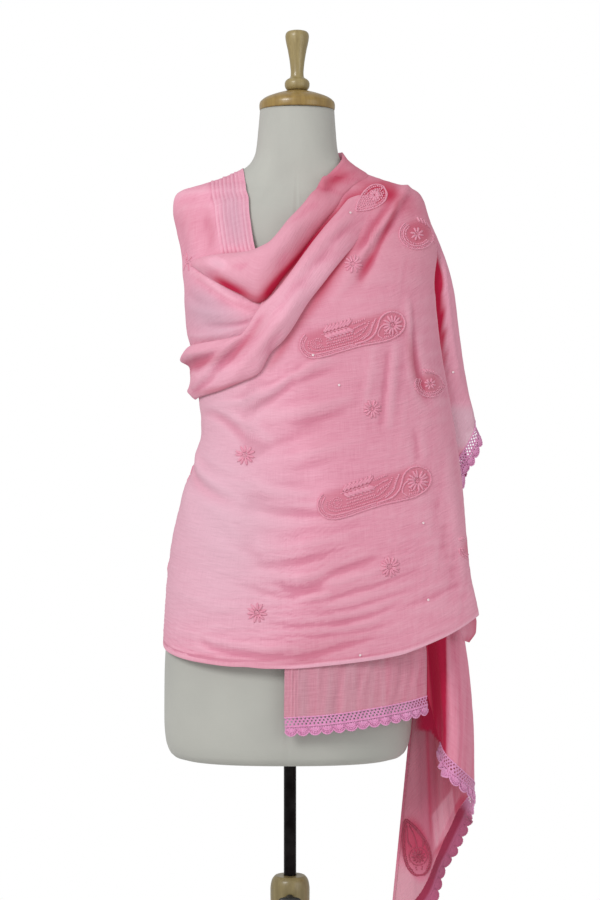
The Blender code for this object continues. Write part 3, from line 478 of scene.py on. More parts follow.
def softened(grid, reach):  # the grid's points averaged with their neighbours
    for axis in (0, 1):
        size = int(max(1, round(reach * detail)))
        for _ in range(2):
            ends = [(0, 0)] * 3
            ends[axis] = (size, size)
            padded = np.pad(grid, ends, mode="reflect", reflect_type="odd")
            sums = np.cumsum(padded, axis=axis)
            sums = np.concatenate([np.zeros_like(sums.take([0], axis=axis)), sums], axis=axis)
            count = grid.shape[axis]
            high = sums.take(np.arange(2 * size + 1, 2 * size + 1 + count), axis=axis)
            grid = (high - sums.take(np.arange(count), axis=axis)) / (2 * size + 1)
    return grid


# How far the neighbours count, and how deep a hollow is fully shaded.
hollow = {"fineReach": 2, "fineDepth": 0.35, "broadReach": 6, "broadDepth": 1.6}


def foldShade(grid, paintedShade):  # painted shade of fine and broad hollows, painted highlight on ridges, and the piece's painted light and shade tone
    normal = gridNormals(grid)
    fine, broad = [np.sum((softened(grid, hollow[size + "Reach"]) - grid) * normal, axis=-1)
                   / hollow[size + "Depth"] for size in ("fine", "broad")]
    fine = fine * (1 - 0.6 * np.abs(paintedShade))
    return np.stack([np.clip(fine, -1, 1), np.clip(broad, -1, 1), paintedShade], axis=-1)


# Each piece is given its painted light and shade tone; hollows scales the painted shade of its hollows.
def clothPiece(name, grids, paintedShades, material, hollows=1.0):
    points, faces, places, shades, count = [], [], [], [], 0
    for grid, paintedShade in zip(grids, paintedShades):
        points.append(grid.reshape(-1, 3))
        places.append(clothPlace(grid).reshape(-1, 3))
        shades.append(foldShade(grid, paintedShade(grid)).reshape(-1, 3) * (hollows, hollows, 1.0))
        faces.append(gridFaces(*grid.shape[:2], count))
        count += len(points[-1])
    return meshPiece(name, np.concatenate(points), np.concatenate(faces), material,
                     {"clothPlace": np.concatenate(places), "foldShade": np.concatenate(shades)})


def awayFrom(grid, line):  # how far each point lies from a line of points
    flat = grid.reshape(-1, 3)
    nearest = np.full(len(flat), 1e12)
    for start, end in zip(line[:-1], line[1:]):
        step = end - start
        t = np.clip(((flat - start) @ step) / (step @ step), 0, 1)
        nearest = np.minimum(nearest, np.sum((flat - start - t[:, None] * step) ** 2, axis=1))
    return np.sqrt(nearest).reshape(grid.shape[:2])


def selvedgeTucks(grid, line, piece):  # pin tucks that run beside an edge
    place = awayFrom(grid, line) / piece["tuckPitch"]
    within = blend(piece["tucks"] + 0.6, piece["tucks"] + 0.3, place) * blend(0.3, 0.5, place)
    share = (place - 0.5) % 1.0
    saw = blend(0.0, 0.72, share) * blend(1.0, 0.80, share)
    uneven = 0.75 + 0.45 * np.sin(np.floor(place - 0.5) * 2.4 + grid[..., 2] * 0.035)
    return grid + gridNormals(grid) * (piece["tuckRise"] * saw * within * uneven)[..., None]


# The front wrap: the panel with its hem and right fold, and the band rolled over at its top.
frontWrap = {"columns": 176, "rows": 206, "bandColumns": 190, "bandRows": 46, "bandTips": 9.0,
             "foldRadius": 4.5, "foldRun": 30.0, "hemRadius": 0.7, "hemRun": 9.0, "hemRise": 0.35,
             "hemWidth": 5.0, "hollows": 0.8}


def frontLift(turn, height):
    point = outerPoint(turn, height)
    x = point[..., 0]
    hemward = height - 0.0012 * x**2  # the fine ripples run along the hem's curve
    low = blend(960, 830, height)
    ripple = crinkle(x, height, 0.28 + 0.22 * low, 11)
    ripple = ripple + crinkle(x, hemward, 0.55, 13, (1.0, 0.02), 8.0) * low * blend(210, 60, x)
    ripple = ripple + crinkle(x, height, 0.30, 14, (0.12, 1.0), 20.0) * blend(60, 140, x)
    rise = foldRise(x, height, frontFolds) * 0.8 + ripple
    deepest = 2.5 + 3.5 * blend(740, 800, height) * blend(226, 250, turn)
    rise = np.where(rise < 0, -deepest * np.tanh(-rise / deepest), rise)
    above = height - tableCurves(frontEdges)[0](turn)  # the rolled hem and the stitch line over it
    width = frontWrap["hemWidth"]
    hem = blend(0.0, 1.5, above) * blend(width, width - 2.0, above)
    hem = hem - 0.8 * np.exp(-((above - width - 0.5) / 1.3) ** 2)
    rise = rise * blend(0, 14, above) + frontWrap["hemRise"] * blend(344, 336, turn) * hem
    return (layers["under"] + (layers["outer"] - layers["under"]) * blend(166, 226, turn)
            + rise * blend(166, 190, turn))


def rolledFold(table, layer, columns, rows, extra, tips=0.0):
    lowerAt, upperAt, bulgeAt, valleyAt = tableCurves(table)
    turn = table[0][0] + (table[-1][0] - layers["seam"] - table[0][0]) * columns
    across = np.radians(np.linspace(-128, 128, rows))
    turn, across = np.meshgrid(turn, across)
    share = 0.5 + 0.5 * np.sin(across)
    height = betweenEdges(lowerAt(turn), upperAt(turn), share)
    valley = 1 - valleyAt(turn) * np.exp(-(((share - 0.5) / 0.28) ** 2))
    base = layer(turn, height)
    bulge = bulgeAt(turn) * np.maximum(np.cos(across), 0.0) * (0.72 + 0.56 * share) * valley
    for middle in (0.16, 0.88):
        bulge = bulge + tips * np.exp(-np.abs(share - middle) / 0.13) * blend(196, 176, turn)
    point = outerPoint(turn, height)
    ripple = extra(point[..., 0], height) * blend(0.0, 0.5, np.cos(across))
    under = 0.9 * np.clip(-np.cos(across), 0, 1)
    return lifted(outerPoint, turn, height, base + bulge + ripple - under)


def makeFrontWrap(material):
    s = frontWrap
    columns, rows = gridShares(s)
    columns = columns - 0.35 * np.sin(2 * np.pi * columns) / (2 * np.pi)
    right = edgeCurve(frontRight, -layers["seam"])
    turn, height = patch(frontEdges, fixed(165.0), right, columns, rows)
    grid = lifted(outerPoint, turn, height, frontLift(turn, height))
    free = 0.3 + 0.7 * blend(1290, 1210, grid[:, -1, 2])
    grid = turnEdge(grid, "right", s["foldRadius"] * free, s["foldRun"] * free[:, None])
    grid = turnHem(grid, "lower", s)

    def bandLayer(turn, height):  # the band sinks into the panel towards the right shoulder
        rise = layers["chest"] - layers["outer"]
        return frontLift(turn, height) + rise - 7.5 * blend(296, 322, turn)

    def bandRipple(x, z):
        return foldRise(x, z, bandFolds) + crinkle(x, z, 0.7, 12, (0.8, 0.6))

    band = rolledFold(chestRoll, bandLayer, even(s["bandColumns"] * detail), s["bandRows"],
                      bandRipple, s["bandTips"])
    return clothPiece("frontWrap", [grid, band, hemCorner()], [
        frontPaintedShade, shadedBy(bandShades, 0.10, 0.16, 1180, 1330), cornerPaintedShade], material, s["hollows"])


farCorner = {"rows": 34, "columns": 26, "belly": 5.0, "wave": 1.2, "hemRadius": 0.5, "hemRun": 4.0}
# The corner of the far layer that hangs below the hem at the right: x, y, z down each side.
cornerLeft = [(217, -93, 763), (227, -87, 756), (234, -80, 747), (238, -73, 734)]
cornerRight = [(253, -70, 772), (256, -64, 759), (255.5, -62, 746), (246, -64, 731)]


def hemCorner():
    s = farCorner
    rows, columns = int(s["rows"] * detail), int(s["columns"] * detail)
    left, right = rounded3(cornerLeft, rows), rounded3(cornerRight, rows)
    share = even(columns)[None, :, None]
    grid = left[:, None] + (right - left)[:, None] * share
    down = np.linspace(0, 1, rows)[:, None]
    grid[..., 1] += s["belly"] * np.sin(np.pi * share[..., 0]) * (0.4 + 0.6 * down)
    grid[..., 1] -= s["wave"] * np.sin(share[..., 0] * 9 + down * 2) * down
    return turnEdge(grid[::-1], "left", s["hemRadius"], s["hemRun"], (35, 70, 105, 140))


def rounded3(points, count):
    points = np.asarray(points, float)
    knots = np.arange(len(points))
    return np.stack([smoothCurve(knots, points[:, axis])(np.linspace(0, knots[-1], count))
                     for axis in range(3)], axis=-1)


# Painted shade on the far corner below the hem, deeper to the right and towards its bottom.
def cornerPaintedShade(grid):
    share = np.linspace(0, 1, grid.shape[1])[None] + 0 * grid[..., 2]
    return np.clip(0.24 + 0.30 * blend(0.6, 1.0, share) + 0.15 * blend(745, 733, grid[..., 2]), 0, 1)


def frontPaintedShade(grid):  # painted shade, darker to the right, where more layers lie and less light falls, and upwards; painted light, paler, at the left
    x, z = grid[..., 0], grid[..., 2]
    tone = 0.15 * blend(-60, 60, x) + 0.17 * blend(1150, 1330, z)
    tone = tone - 0.55 * blend(40, -110, x) * blend(1130, 1060, z) * blend(700, 800, z)
    tone = tone + foldRise(x, z, frontShades) + stitchShade(grid)
    # A painted highlight along the rolled hem's edge, and painted shade in the groove of its stitch
    # line.
    hem = tableCurves(frontEdges)[0](np.degrees(np.arctan2(grid[..., 1], x)) % 360)
    hemTone = 0.5 * blend(6, 4, z - hem) - 0.16 * np.exp(-((z - hem - 7.0) / 1.6) ** 2)
    return np.clip(tone - hemTone * blend(-40, 60, x), -1, 1)


def toPixels(points):  # where the camera sees them
    scale = view["height"] / (2 * view["halfHeight"]) * -view["y"] / (points[..., 1] - view["y"])
    return (view["width"] / 2 + (points[..., 0] - view["x"]) * scale,
            view["height"] / 2 - (points[..., 2] - view["z"]) * scale)


def stitchShade(grid):  # the cloth is painted darker round the close embroidery: denser there, with painted shade in the gaps between the stitches
    px, py = toPixels(grid)
    tone = np.zeros_like(px)
    spots = [(x, y, length, angle, 13.0) for x, y, length, angle in longPaisleys]
    spots += [(x, y, 0.0, 0.0, radius - 5) for x, y, radius, _ in roundPaisleys]
    spots += [(x, y, length, angle, width / 2) for x, y, length, width, angle in frontDrops]
    for x, y, length, angle, radius in spots:
        wayX, wayY = math.cos(angle), math.sin(angle)
        along = np.clip((px - x) * wayX + (py - y) * wayY, 0, length)
        away = np.hypot(px - x - along * wayX, py - y - along * wayY)
        tone = np.maximum(tone, blend(radius + 5.0, radius - 4.0, away))
    return 0.33 * tone


def shadedBy(shades, base=0.0, rise=0.0, low=0.0, high=1.0):  # painted shade, deeper upwards and in the creases
    def paintedShade(grid):
        x, z = grid[..., 0], grid[..., 2]
        return np.clip(base + rise * blend(low, high, z) + foldRise(x, z, shades), -1, 1)

    return paintedShade


# Painted shade inside the main creases, as the folds are given; rows with a negative strength are
# painted light, paler.
frontShades = [
    (91, 1288, 54, 1229, 17, 1167, 0.62, 9), (22, 1181, -6, 1136, -34, 1097, 0.45, 7),
    (139, 1337, 116, 1302, 89, 1264, 0.25, 4), (148, 1333, 129, 1289, 100, 1235, 0.45, 3.5),
    (114, 1261, 103, 1242, 92, 1218, 0.35, 7), (162, 1150, 169, 1109, 185, 1060, 0.3, 7),
    (-133, 992, -126, 949, -77, 924, 0.4, 7), (-120, 1046, -88, 1035, -48, 1000, 0.25, 7),
    (81, 1369, 128, 1350, 175, 1325, 0.3, 14), (-46, 1198, 11, 1254, 87, 1340, 0.9, 9),
    (-133, 1008, -88, 900, -60, 790, -0.3, 60), (-70, 900, 0, 930, 60, 960, -0.2, 50),
    (-150, 715, -40, 712, 120, 750, 0.17, 22),
]
bandShades = [
    (-20, 1168, 20, 1205, 60, 1255, -0.2, 22), (-130, 1095, -100, 1100, -70, 1110, -0.25, 16),
    (-142, 1113, -118, 1113, -88, 1124, 0.4, 8), (-34, 1173, -59, 1138, -91, 1108, 0.3, 6),
    (-134, 1073, -91, 1078, -37, 1093, 0.35, 4),
]
cowlShades = [
    (-44, 1190, 12, 1246, 90, 1336, 1.1, 8), (-40, 1196, 12, 1252, 78, 1326, 0.3, 20),
    (-104, 1230, -80, 1214, -44, 1195, 0.9, 7), (-110, 1252, -96, 1246, -84, 1240, -0.5, 6),
    (41, 1345, 61, 1365, 84, 1374, 0.35, 9),
]
shoulderShades = [
    (-134, 1240, -91, 1202, -45, 1181, 0.45, 7), (-120, 1248, -99, 1252, -61, 1261, 0.35, 5),
    (-139, 1135, -112, 1139, -69, 1142, 0.4, 4), (-112, 1331, -107, 1296, -107, 1264, 0.2, 9),
    (-51, 1358, -45, 1311, -45, 1277, 0.2, 4), (-140, 1220, -110, 1180, -60, 1160, -0.75, 34),
    (-82, 1365, -76, 1310, -66, 1265, -0.6, 20), (-160, 1340, -140, 1310, -130, 1260, 0.2, 30),
    (-96, 1255, -80, 1262, -62, 1268, 0.3, 8),
]


# Creases that run along the rolled band and the cowl.
bandFolds = [
    (-32, 1178, -59, 1138, -96, 1103, -6, 7), (-51, 1162, -80, 1127, -120, 1084, 4.5, 7, 0.4),
    (14, 1199, -26, 1143, -72, 1092, 3.5, 8), (-8, 1156, -29, 1130, -59, 1100, -2.5, 6),
    (-142, 1119, -120, 1116, -91, 1130, -7, 9), (84, 1315, 38, 1259, -26, 1189, 2.5, 8),
    (79, 1296, 44, 1248, 1, 1197, -2, 8), (-72, 1142, -102, 1131, -131, 1130, 2.5, 5),
    (-88, 1100, -112, 1084, -134, 1077, -3, 6),
]
cowlFolds = [
    (-134, 1248, -91, 1242, -51, 1248, 2.8, 7), (-112, 1234, -86, 1218, -53, 1208, -2.6, 7),
    (-88, 1237, -59, 1221, -32, 1218, 2, 9), (-37, 1264, 9, 1299, 54, 1345, -2, 9),
    (-21, 1240, 19, 1283, 73, 1342, 2.4, 9), (-37, 1210, 1, 1253, 49, 1307, -1.8, 7),
    (38, 1337, 60, 1355, 81, 1369, -2, 6), (44, 1358, 60, 1369, 73, 1385, -1.6, 5),
]
cowl = {"columns": 150, "rows": 42}


def makeCowl(material):
    columns = 1 - (1 - even(cowl["columns"] * detail)) ** 1.3
    grid = rolledFold(cowlRoll, lambda t, h: layers["cowl"] + 0.0 * t, columns, cowl["rows"],
                      lambda x, z: foldRise(x, z, cowlFolds) + crinkle(x, z, 0.6, 21, (0.8, 0.6)))
    return clothPiece("cowlFold", [grid], [shadedBy(cowlShades, 0.17, 0.30, 1270, 1380)], material)


# The left shoulder, with the selvedge and its pin tucks beside the neck.
leftShoulder = {"columns": 165, "rows": 190, "hemRadius": 0.5, "hemRun": 5.0, "tuckRise": 1.3,
                "tuckPitch": 5.6, "tucks": 8, "crinkle": 0.7}


def neckEdge():  # the whole upper edge of the shoulder and the back, as points
    right = tableCurves(neckSelvedge)[0]
    heights = np.arange(1240.0, 1386.0, 4.0)
    side = lifted(snugPoint, right(heights), heights, 0 * heights + layers["under"])
    turns = np.arange(188.0, 19.0, -3.0)
    tops = np.where(turns > 165, tableCurves(shoulderEdges)[1](turns), tableCurves(backEdges)[1](turns))
    over = lifted(snugPoint, turns, tops, 0 * turns + layers["under"])
    return np.concatenate([side, over])


def makeLeftShoulder(material):
    s = leftShoulder
    turn, height = patch(shoulderEdges, fixed(165.0), edgeCurve(neckSelvedge), *gridShares(s))
    x = snugPoint(turn, height)[..., 0]
    ripple = crinkle(x, height, s["crinkle"], 31, (0.35, 1.0), 34.0) * blend(165, 180, turn)
    folds = foldRise(x, height, shoulderFolds) * blend(165, 180, turn)
    calm = blend(2, 26, awayFrom(snugPoint(turn, height), neckEdge()))
    grid = lifted(snugPoint, turn, height, layers["under"] + (ripple + folds) * calm)
    grid = selvedgeTucks(grid, neckEdge(), s)
    grid = turnHem(grid, "right", s)
    return clothPiece("leftShoulder", [grid], [shadedBy(shoulderShades)], material)


shoulderFolds = [
    (-126, 1337, -110, 1291, -112, 1253, -3, 11), (-147, 1337, -134, 1291, -129, 1259, 2.6, 9),
    (-158, 1325, -150, 1284, -142, 1248, -1.8, 7), (-100, 1347, -91, 1304, -91, 1261, 1.6, 8),
    (-139, 1245, -102, 1218, -67, 1191, 2.5, 7), (-115, 1166, -83, 1163, -51, 1169, -2.6, 4),
    (-137, 1197, -102, 1181, -59, 1181, 2.4, 8), (-139, 1156, -112, 1151, -72, 1155, 1.8, 6),
    (-147, 1229, -126, 1199, -99, 1189, -2, 8),
]

# The back, which the photo hides.
back = {"columns": 112, "rows": 225, "hemRadius": 0.7, "hemRun": 8.0, "neckRadius": 0.5,
        "neckRun": 5.0, "crinkle": 0.6}


def makeBack(material):
    s = back
    shares, up = gridShares(s)
    shares = shares - 0.35 * np.sin(2 * np.pi * shares) / (2 * np.pi)
    turn, height = patch(backEdges, fixed(20.0), fixed(165.0), shares, 1 - (1 - up) ** 1.5)
    x = snugPoint(turn, height)[..., 0]
    calm = blend(20, 45, turn) * blend(165, 145, turn)
    rise = foldRise(x, height, backFolds) * calm
    ripple = crinkle(x, height, s["crinkle"], 41, (0.9, -0.35), 30.0) * blend(165, 155, turn)
    grid = lifted(snugPoint, turn, height, layers["under"] + rise + ripple)
    grid = selvedgeTucks(grid, neckEdge(), leftShoulder)
    grid = turnEdge(grid, "upper", s["neckRadius"], s["neckRun"])
    grid = turnHem(grid, "lower", s)

    def paintedShade(points):  # painted light: paler round the left side, where one layer lies on the form and lets light through
        turn = np.degrees(np.arctan2(points[..., 1], points[..., 0])) % 360
        z = points[..., 2]
        return -0.55 * blend(125, 160, turn) * blend(1130, 1060, z) * blend(700, 800, z)

    return clothPiece("backWrap", [grid], [paintedShade], material)


# The inner end, which hangs below the wrap's hem with upright tucks beside its selvedge.
innerEnd = {"columns": 112, "rows": 120, "tuckRise": 0.9, "tuckPitch": 4.4, "tucks": 4,
            "hemRadius": 0.5, "hemRun": 4.0, "crinkle": 0.7}
# turn, rise, width of the upright folds above the lace
innerFolds = [
    (279, 0.5, 1.2), (287, 0.6, 1), (296, -0.8, 2.4), (305, 0.6, 1.2), (311, -0.6, 2),
    (318, 0.9, 1.4), (325, -0.8, 2), (332, 0.9, 1.6),
]


def innerSurface(turn, height):
    hidden = blend(*layers["hiddenLow"], height) * blend(*layers["hiddenHigh"], height)
    lift = layers["under"] - layers["hiddenDrop"] * hidden
    shown = blend(760, 700, height) * blend(338, 332, turn)
    for foldTurn, rise, width in innerFolds:
        lift = lift + rise * shown * np.exp(-(((turn - foldTurn) / width) ** 2))
    x = underPoint(turn, height)[..., 0]
    lift = lift + crinkle(x, height, innerEnd["crinkle"], 51, (0.2, 1.0), 24.0) * shown
    return lifted(underPoint, turn, height, lift)


def makeInnerEnd(material):
    s = innerEnd
    shares, up = gridShares(s)
    shares = np.where(shares < 0.35, shares * 0.5, 0.175 + (shares - 0.35) / 0.65 * 0.825)
    turn, height = patch(innerEndEdges, fixed(268.0), edgeCurve(innerEndRight, -layers["seam"]),
                         shares, up**1.7)
    grid = innerSurface(turn, height)
    line = grid[:, 0][::4]
    lace = grid.copy()
    tucked = selvedgeTucks(grid, line, s)
    grid = grid + (tucked - grid) * blend(720, 700, height)[..., None]
    grid = turnHem(grid, "left", s)
    return clothPiece("innerEnd", [grid], [innerPaintedShade], material), lace


def innerPaintedShade(grid):  # painted shade: the cloth is darker and greyer just under the hem, where it hangs in shade, and deeper to the right; faint upright streaks
    x, z = grid[..., 0], grid[..., 2]
    streaks = crinkle(x, z, 0.5, 53, (0.03, 1.0), 34.0)
    return np.clip(-0.45 + 0.35 * streaks + 0.2 * blend(90, 175, x), -1, 1)


# The drape that falls behind the right shoulder.
sideDrape = {"columns": 118, "rows": 150, "waves": 4.5, "waveRise": 9.0, "firstTurn": -12.0,
             "endTurn": 85.0, "tuckedTurns": 9.0, "tuckedDepth": 6.0, "looseTurns": 7.5,
             "stripRise": 2.0, "hemRadius": 0.6, "hemRun": 6.0, "crinkle": 0.7, "hollows": 0.35}


def makeSideDrape(material):
    s = sideDrape
    startAt = edgeCurve(sideDrapeStart, layers["seam"])
    shares, up = gridShares(s)
    turn, height = patch(sideDrapeEdges, lambda h: startAt(h) - s["tuckedTurns"], fixed(s["endTurn"]),
                         shares**1.25, 1 - (1 - up) ** 1.2)
    along = (turn - s["firstTurn"]) / (s["endTurn"] - s["firstTurn"])
    wave = np.sin(2 * np.pi * s["waves"] * along)
    away = turn - startAt(height)
    past = turn + 360 - edgeCurve(frontRight)(height)  # how far past the panel's edge
    calm = blend(0, 16, away)
    rise = s["waveRise"] * wave * blend(1300, 1050, height) * calm
    place = sideDrapePoint(turn, height)
    axis = np.stack([middleAt(height), 0 * height], axis=-1)
    gap = (np.linalg.norm(place[..., :2] - axis, axis=-1)
           - np.linalg.norm(outerPoint(turn, height)[..., :2] - axis, axis=-1))
    loose = s["looseTurns"] - 3.0 * blend(1070, 1110, height)
    tucked = (s["tuckedDepth"] + np.maximum(gap, 0)) * (1 - blend(0.6, loose, past))
    strip = s["stripRise"] * np.sin(past * 0.9 + 0.006 * height)  # a narrow fold beside the panel
    strip = strip * blend(2, 6, past) * blend(16, 10, past)
    ripple = crinkle(place[..., 1] * 1.3, height, s["crinkle"], 61, (0.15, 1.0), 30.0) * calm
    grid = lifted(sideDrapePoint, turn, height, layers["outer"] + rise + ripple - tucked
                  + strip * blend(1300, 1200, height))
    lace = grid.copy()
    grid = turnHem(grid, "right", s)

    # Painted shade in the recess beside the panel's edge, and a paler painted window where one layer
    # lets light through.
    def paintedShade(points):
        z = points[..., 2]
        turn = np.degrees(np.arctan2(points[..., 1], points[..., 0] - 8.0))
        past = turn + 360 - edgeCurve(frontRight)(z)
        px, py = toPixels(points)
        border = recessAt[0](py)  # the cloth lies in the fold's recess, painted in shade, up to here
        line = blend(border + 1.2, border - 1.6, px) * blend(16, 12, past)
        line = line * blend(248, 262, py) * blend(415, 395, py)
        line = line * (0.95 - 0.75 * blend(320, 385, py))
        window = blend(1062, 1048, z) * blend(990, 1004, z) * blend(12, 5, turn)
        return np.clip(0.08 + line - 0.9 * window, -1, 1)

    return clothPiece("sideDrape", [grid], [paintedShade], material, s["hollows"]), lace


# How far right the painted shade of the side drape's recess reaches: height and place in pixels.
recessAt = tableCurves([(240, 436), (256, 438), (272, 442), (290, 443.5), (312, 444), (330, 444.5),
                        (350, 445.5), (380, 447), (405, 448)])


# The tail that hangs below the wrap on the right.
# Strengths of the tail's painted shade in the recess, on the rear layer, along its fold, above its hem
# and under the paisley, and of the paler, greyer painted window and low part.
sideTail = {"columns": 132, "rows": 210, "crinkle": 1.0, "hemRadius": 0.6, "hemRun": 6.0,
            "recessTone": 1.2, "rearTone": 0.20, "foldTone": 0.3, "hemTone": 0.28,
            "paisleyTone": 0.42, "windowTone": 0.45, "lowTone": 0.55}


def tailOnBody(share, height):
    start, end = tail["startTurn"], tail["endTurn"]
    turn = start + layers["seam"] + (end - start - 2 * layers["seam"]) * share
    front = innerSurface(turn, height)
    behind = lifted(snugPoint, turn, height, layers["under"] + 0.0 * turn)
    return front + (behind - front) * blend(0.1, 1, share)[..., None]


def tailPoint(share, height):
    x, y, _, lean, pulled = [curve(share) for curve in tailAt]
    pull = tableCurves(tailPull)[0](height)
    x = x - lean * np.maximum(tail["leanHeight"] - height, 0) - pulled * pull
    hanging = np.stack([x, y, height], axis=-1)
    onBody = tailOnBody(share, height)
    nearStart = 1 - blend(0, 0.12, share)
    nearEnd = blend(0.88, 1, share) * blend(640, 700, height)
    spread = blend(tail["spreadLow"], tail["spreadHigh"], height)
    hold = np.maximum(spread, np.maximum(nearStart * blend(600, 650, height), nearEnd))
    return hanging + (onBody - hanging) * hold[..., None]


def makeSideTail(material):
    s = sideTail
    shares, rows = gridShares(s)
    share, up = np.meshgrid(shares, rows**1.15)
    lower = tailAt[2](share)
    height = lower + (tail["top"] - lower) * up
    grid = tailPoint(share, height)
    lace = grid.copy()
    ripple = crinkle(share * 330.0, height, s["crinkle"], 71, (0.12, 1.0), 26.0)
    calm = blend(0.0, 0.1, share) * blend(1.0, 0.93, share) * blend(900, 740, height)
    grid = grid + gridNormals(grid) * (ripple * calm)[..., None]
    grid = turnHem(grid, "right", s)
    columns = grid.shape[1]

    def paintedShade(points):  # painted shade: the folds behind the first one lie in its shade; painted lighter in a window where one layer hangs alone, and greyer low down
        share = np.linspace(0, 1.04, columns)[None] + 0 * points[..., 2]
        z = points[..., 2]
        px, py = toPixels(points)
        front = blend(0.50, 0.40, share)
        rear = blend(0.50, 0.58, share)
        recess = front * blend(447.5, 445.0, px) * blend(560, 590, z) * blend(800, 775, z)
        below = rear * blend(411, 431, px) * blend(462, 445, px) * blend(690, 640, z)
        recess = recess + below * blend(3, -1, py - 729 - 1.35 * np.maximum(px - 431, 0))
        folded = 426.5 + 0.04 * (py - 725)  # where the rear layer folds back
        behind = rear * (s["rearTone"] + 0.13 * blend(folded - 1, folded + 2, px) * blend(430, 480, z))
        behind = behind - 0.10 * front * blend(446, 449, px)
        creaseShade = np.exp(-(((px - folded) / 1.6) ** 2))
        behind = behind + s["foldTone"] * rear * creaseShade * blend(420, 480, z)
        along, across = (px - 444) * 0.26 + (819 - py) * 0.97, (px - 444) * 0.97 - (819 - py) * 0.26
        window = s["windowTone"] * rear * blend(1.12, 0.86, np.abs(along) / 31 + np.abs(across) / 13)
        low = s["lowTone"] * rear * blend(432, 385, z)
        aboveEdge = z - tailAt[2](np.clip(share, 0, 1))
        hem = s["hemTone"] * rear * blend(14, 6, aboveEdge)
        hem = hem * blend(400, 425, z) * blend(512, 495, z)
        aside = np.hypot(px - 418 + 0.20 * (861 - py), (py - 850) * 0.45)
        paisley = s["paisleyTone"] * blend(17, 11, aside)
        return np.clip(0.04 + s["recessTone"] * recess + behind + hem + paisley - window - low, -1, 1)

    return clothPiece("sideTail", [grid], [paintedShade], material), lace


# Crochet lace: a strip of close stitches with rows of small holes, over a row of fans.
lace = {"gap": 0.15, "pitch": 16.6, "cells": 15, "meshDepth": 13.0, "fanDepth": 12.0, "rowCount": 20,
        "meshRows": 11, "threadRadius": 0.75, "sides": 6, "fanPosts": 7, "holeRows": (1, 2, 4, 5, 7, 8),
        "edgeHoleRow": 12}


def strandTube(points, normals, radius, sides):  # a tube round a short line of points
    along = unit(np.gradient(points, axis=0))
    side = unit(np.cross(along, normals))
    top = np.cross(side, along)
    angles = np.linspace(0, 2 * np.pi, sides, endpoint=False)
    ring = (side[:, None] * np.cos(angles)[:, None] + top[:, None] * np.sin(angles)[:, None])
    return points[:, None] + ring * radius[:, None, None]


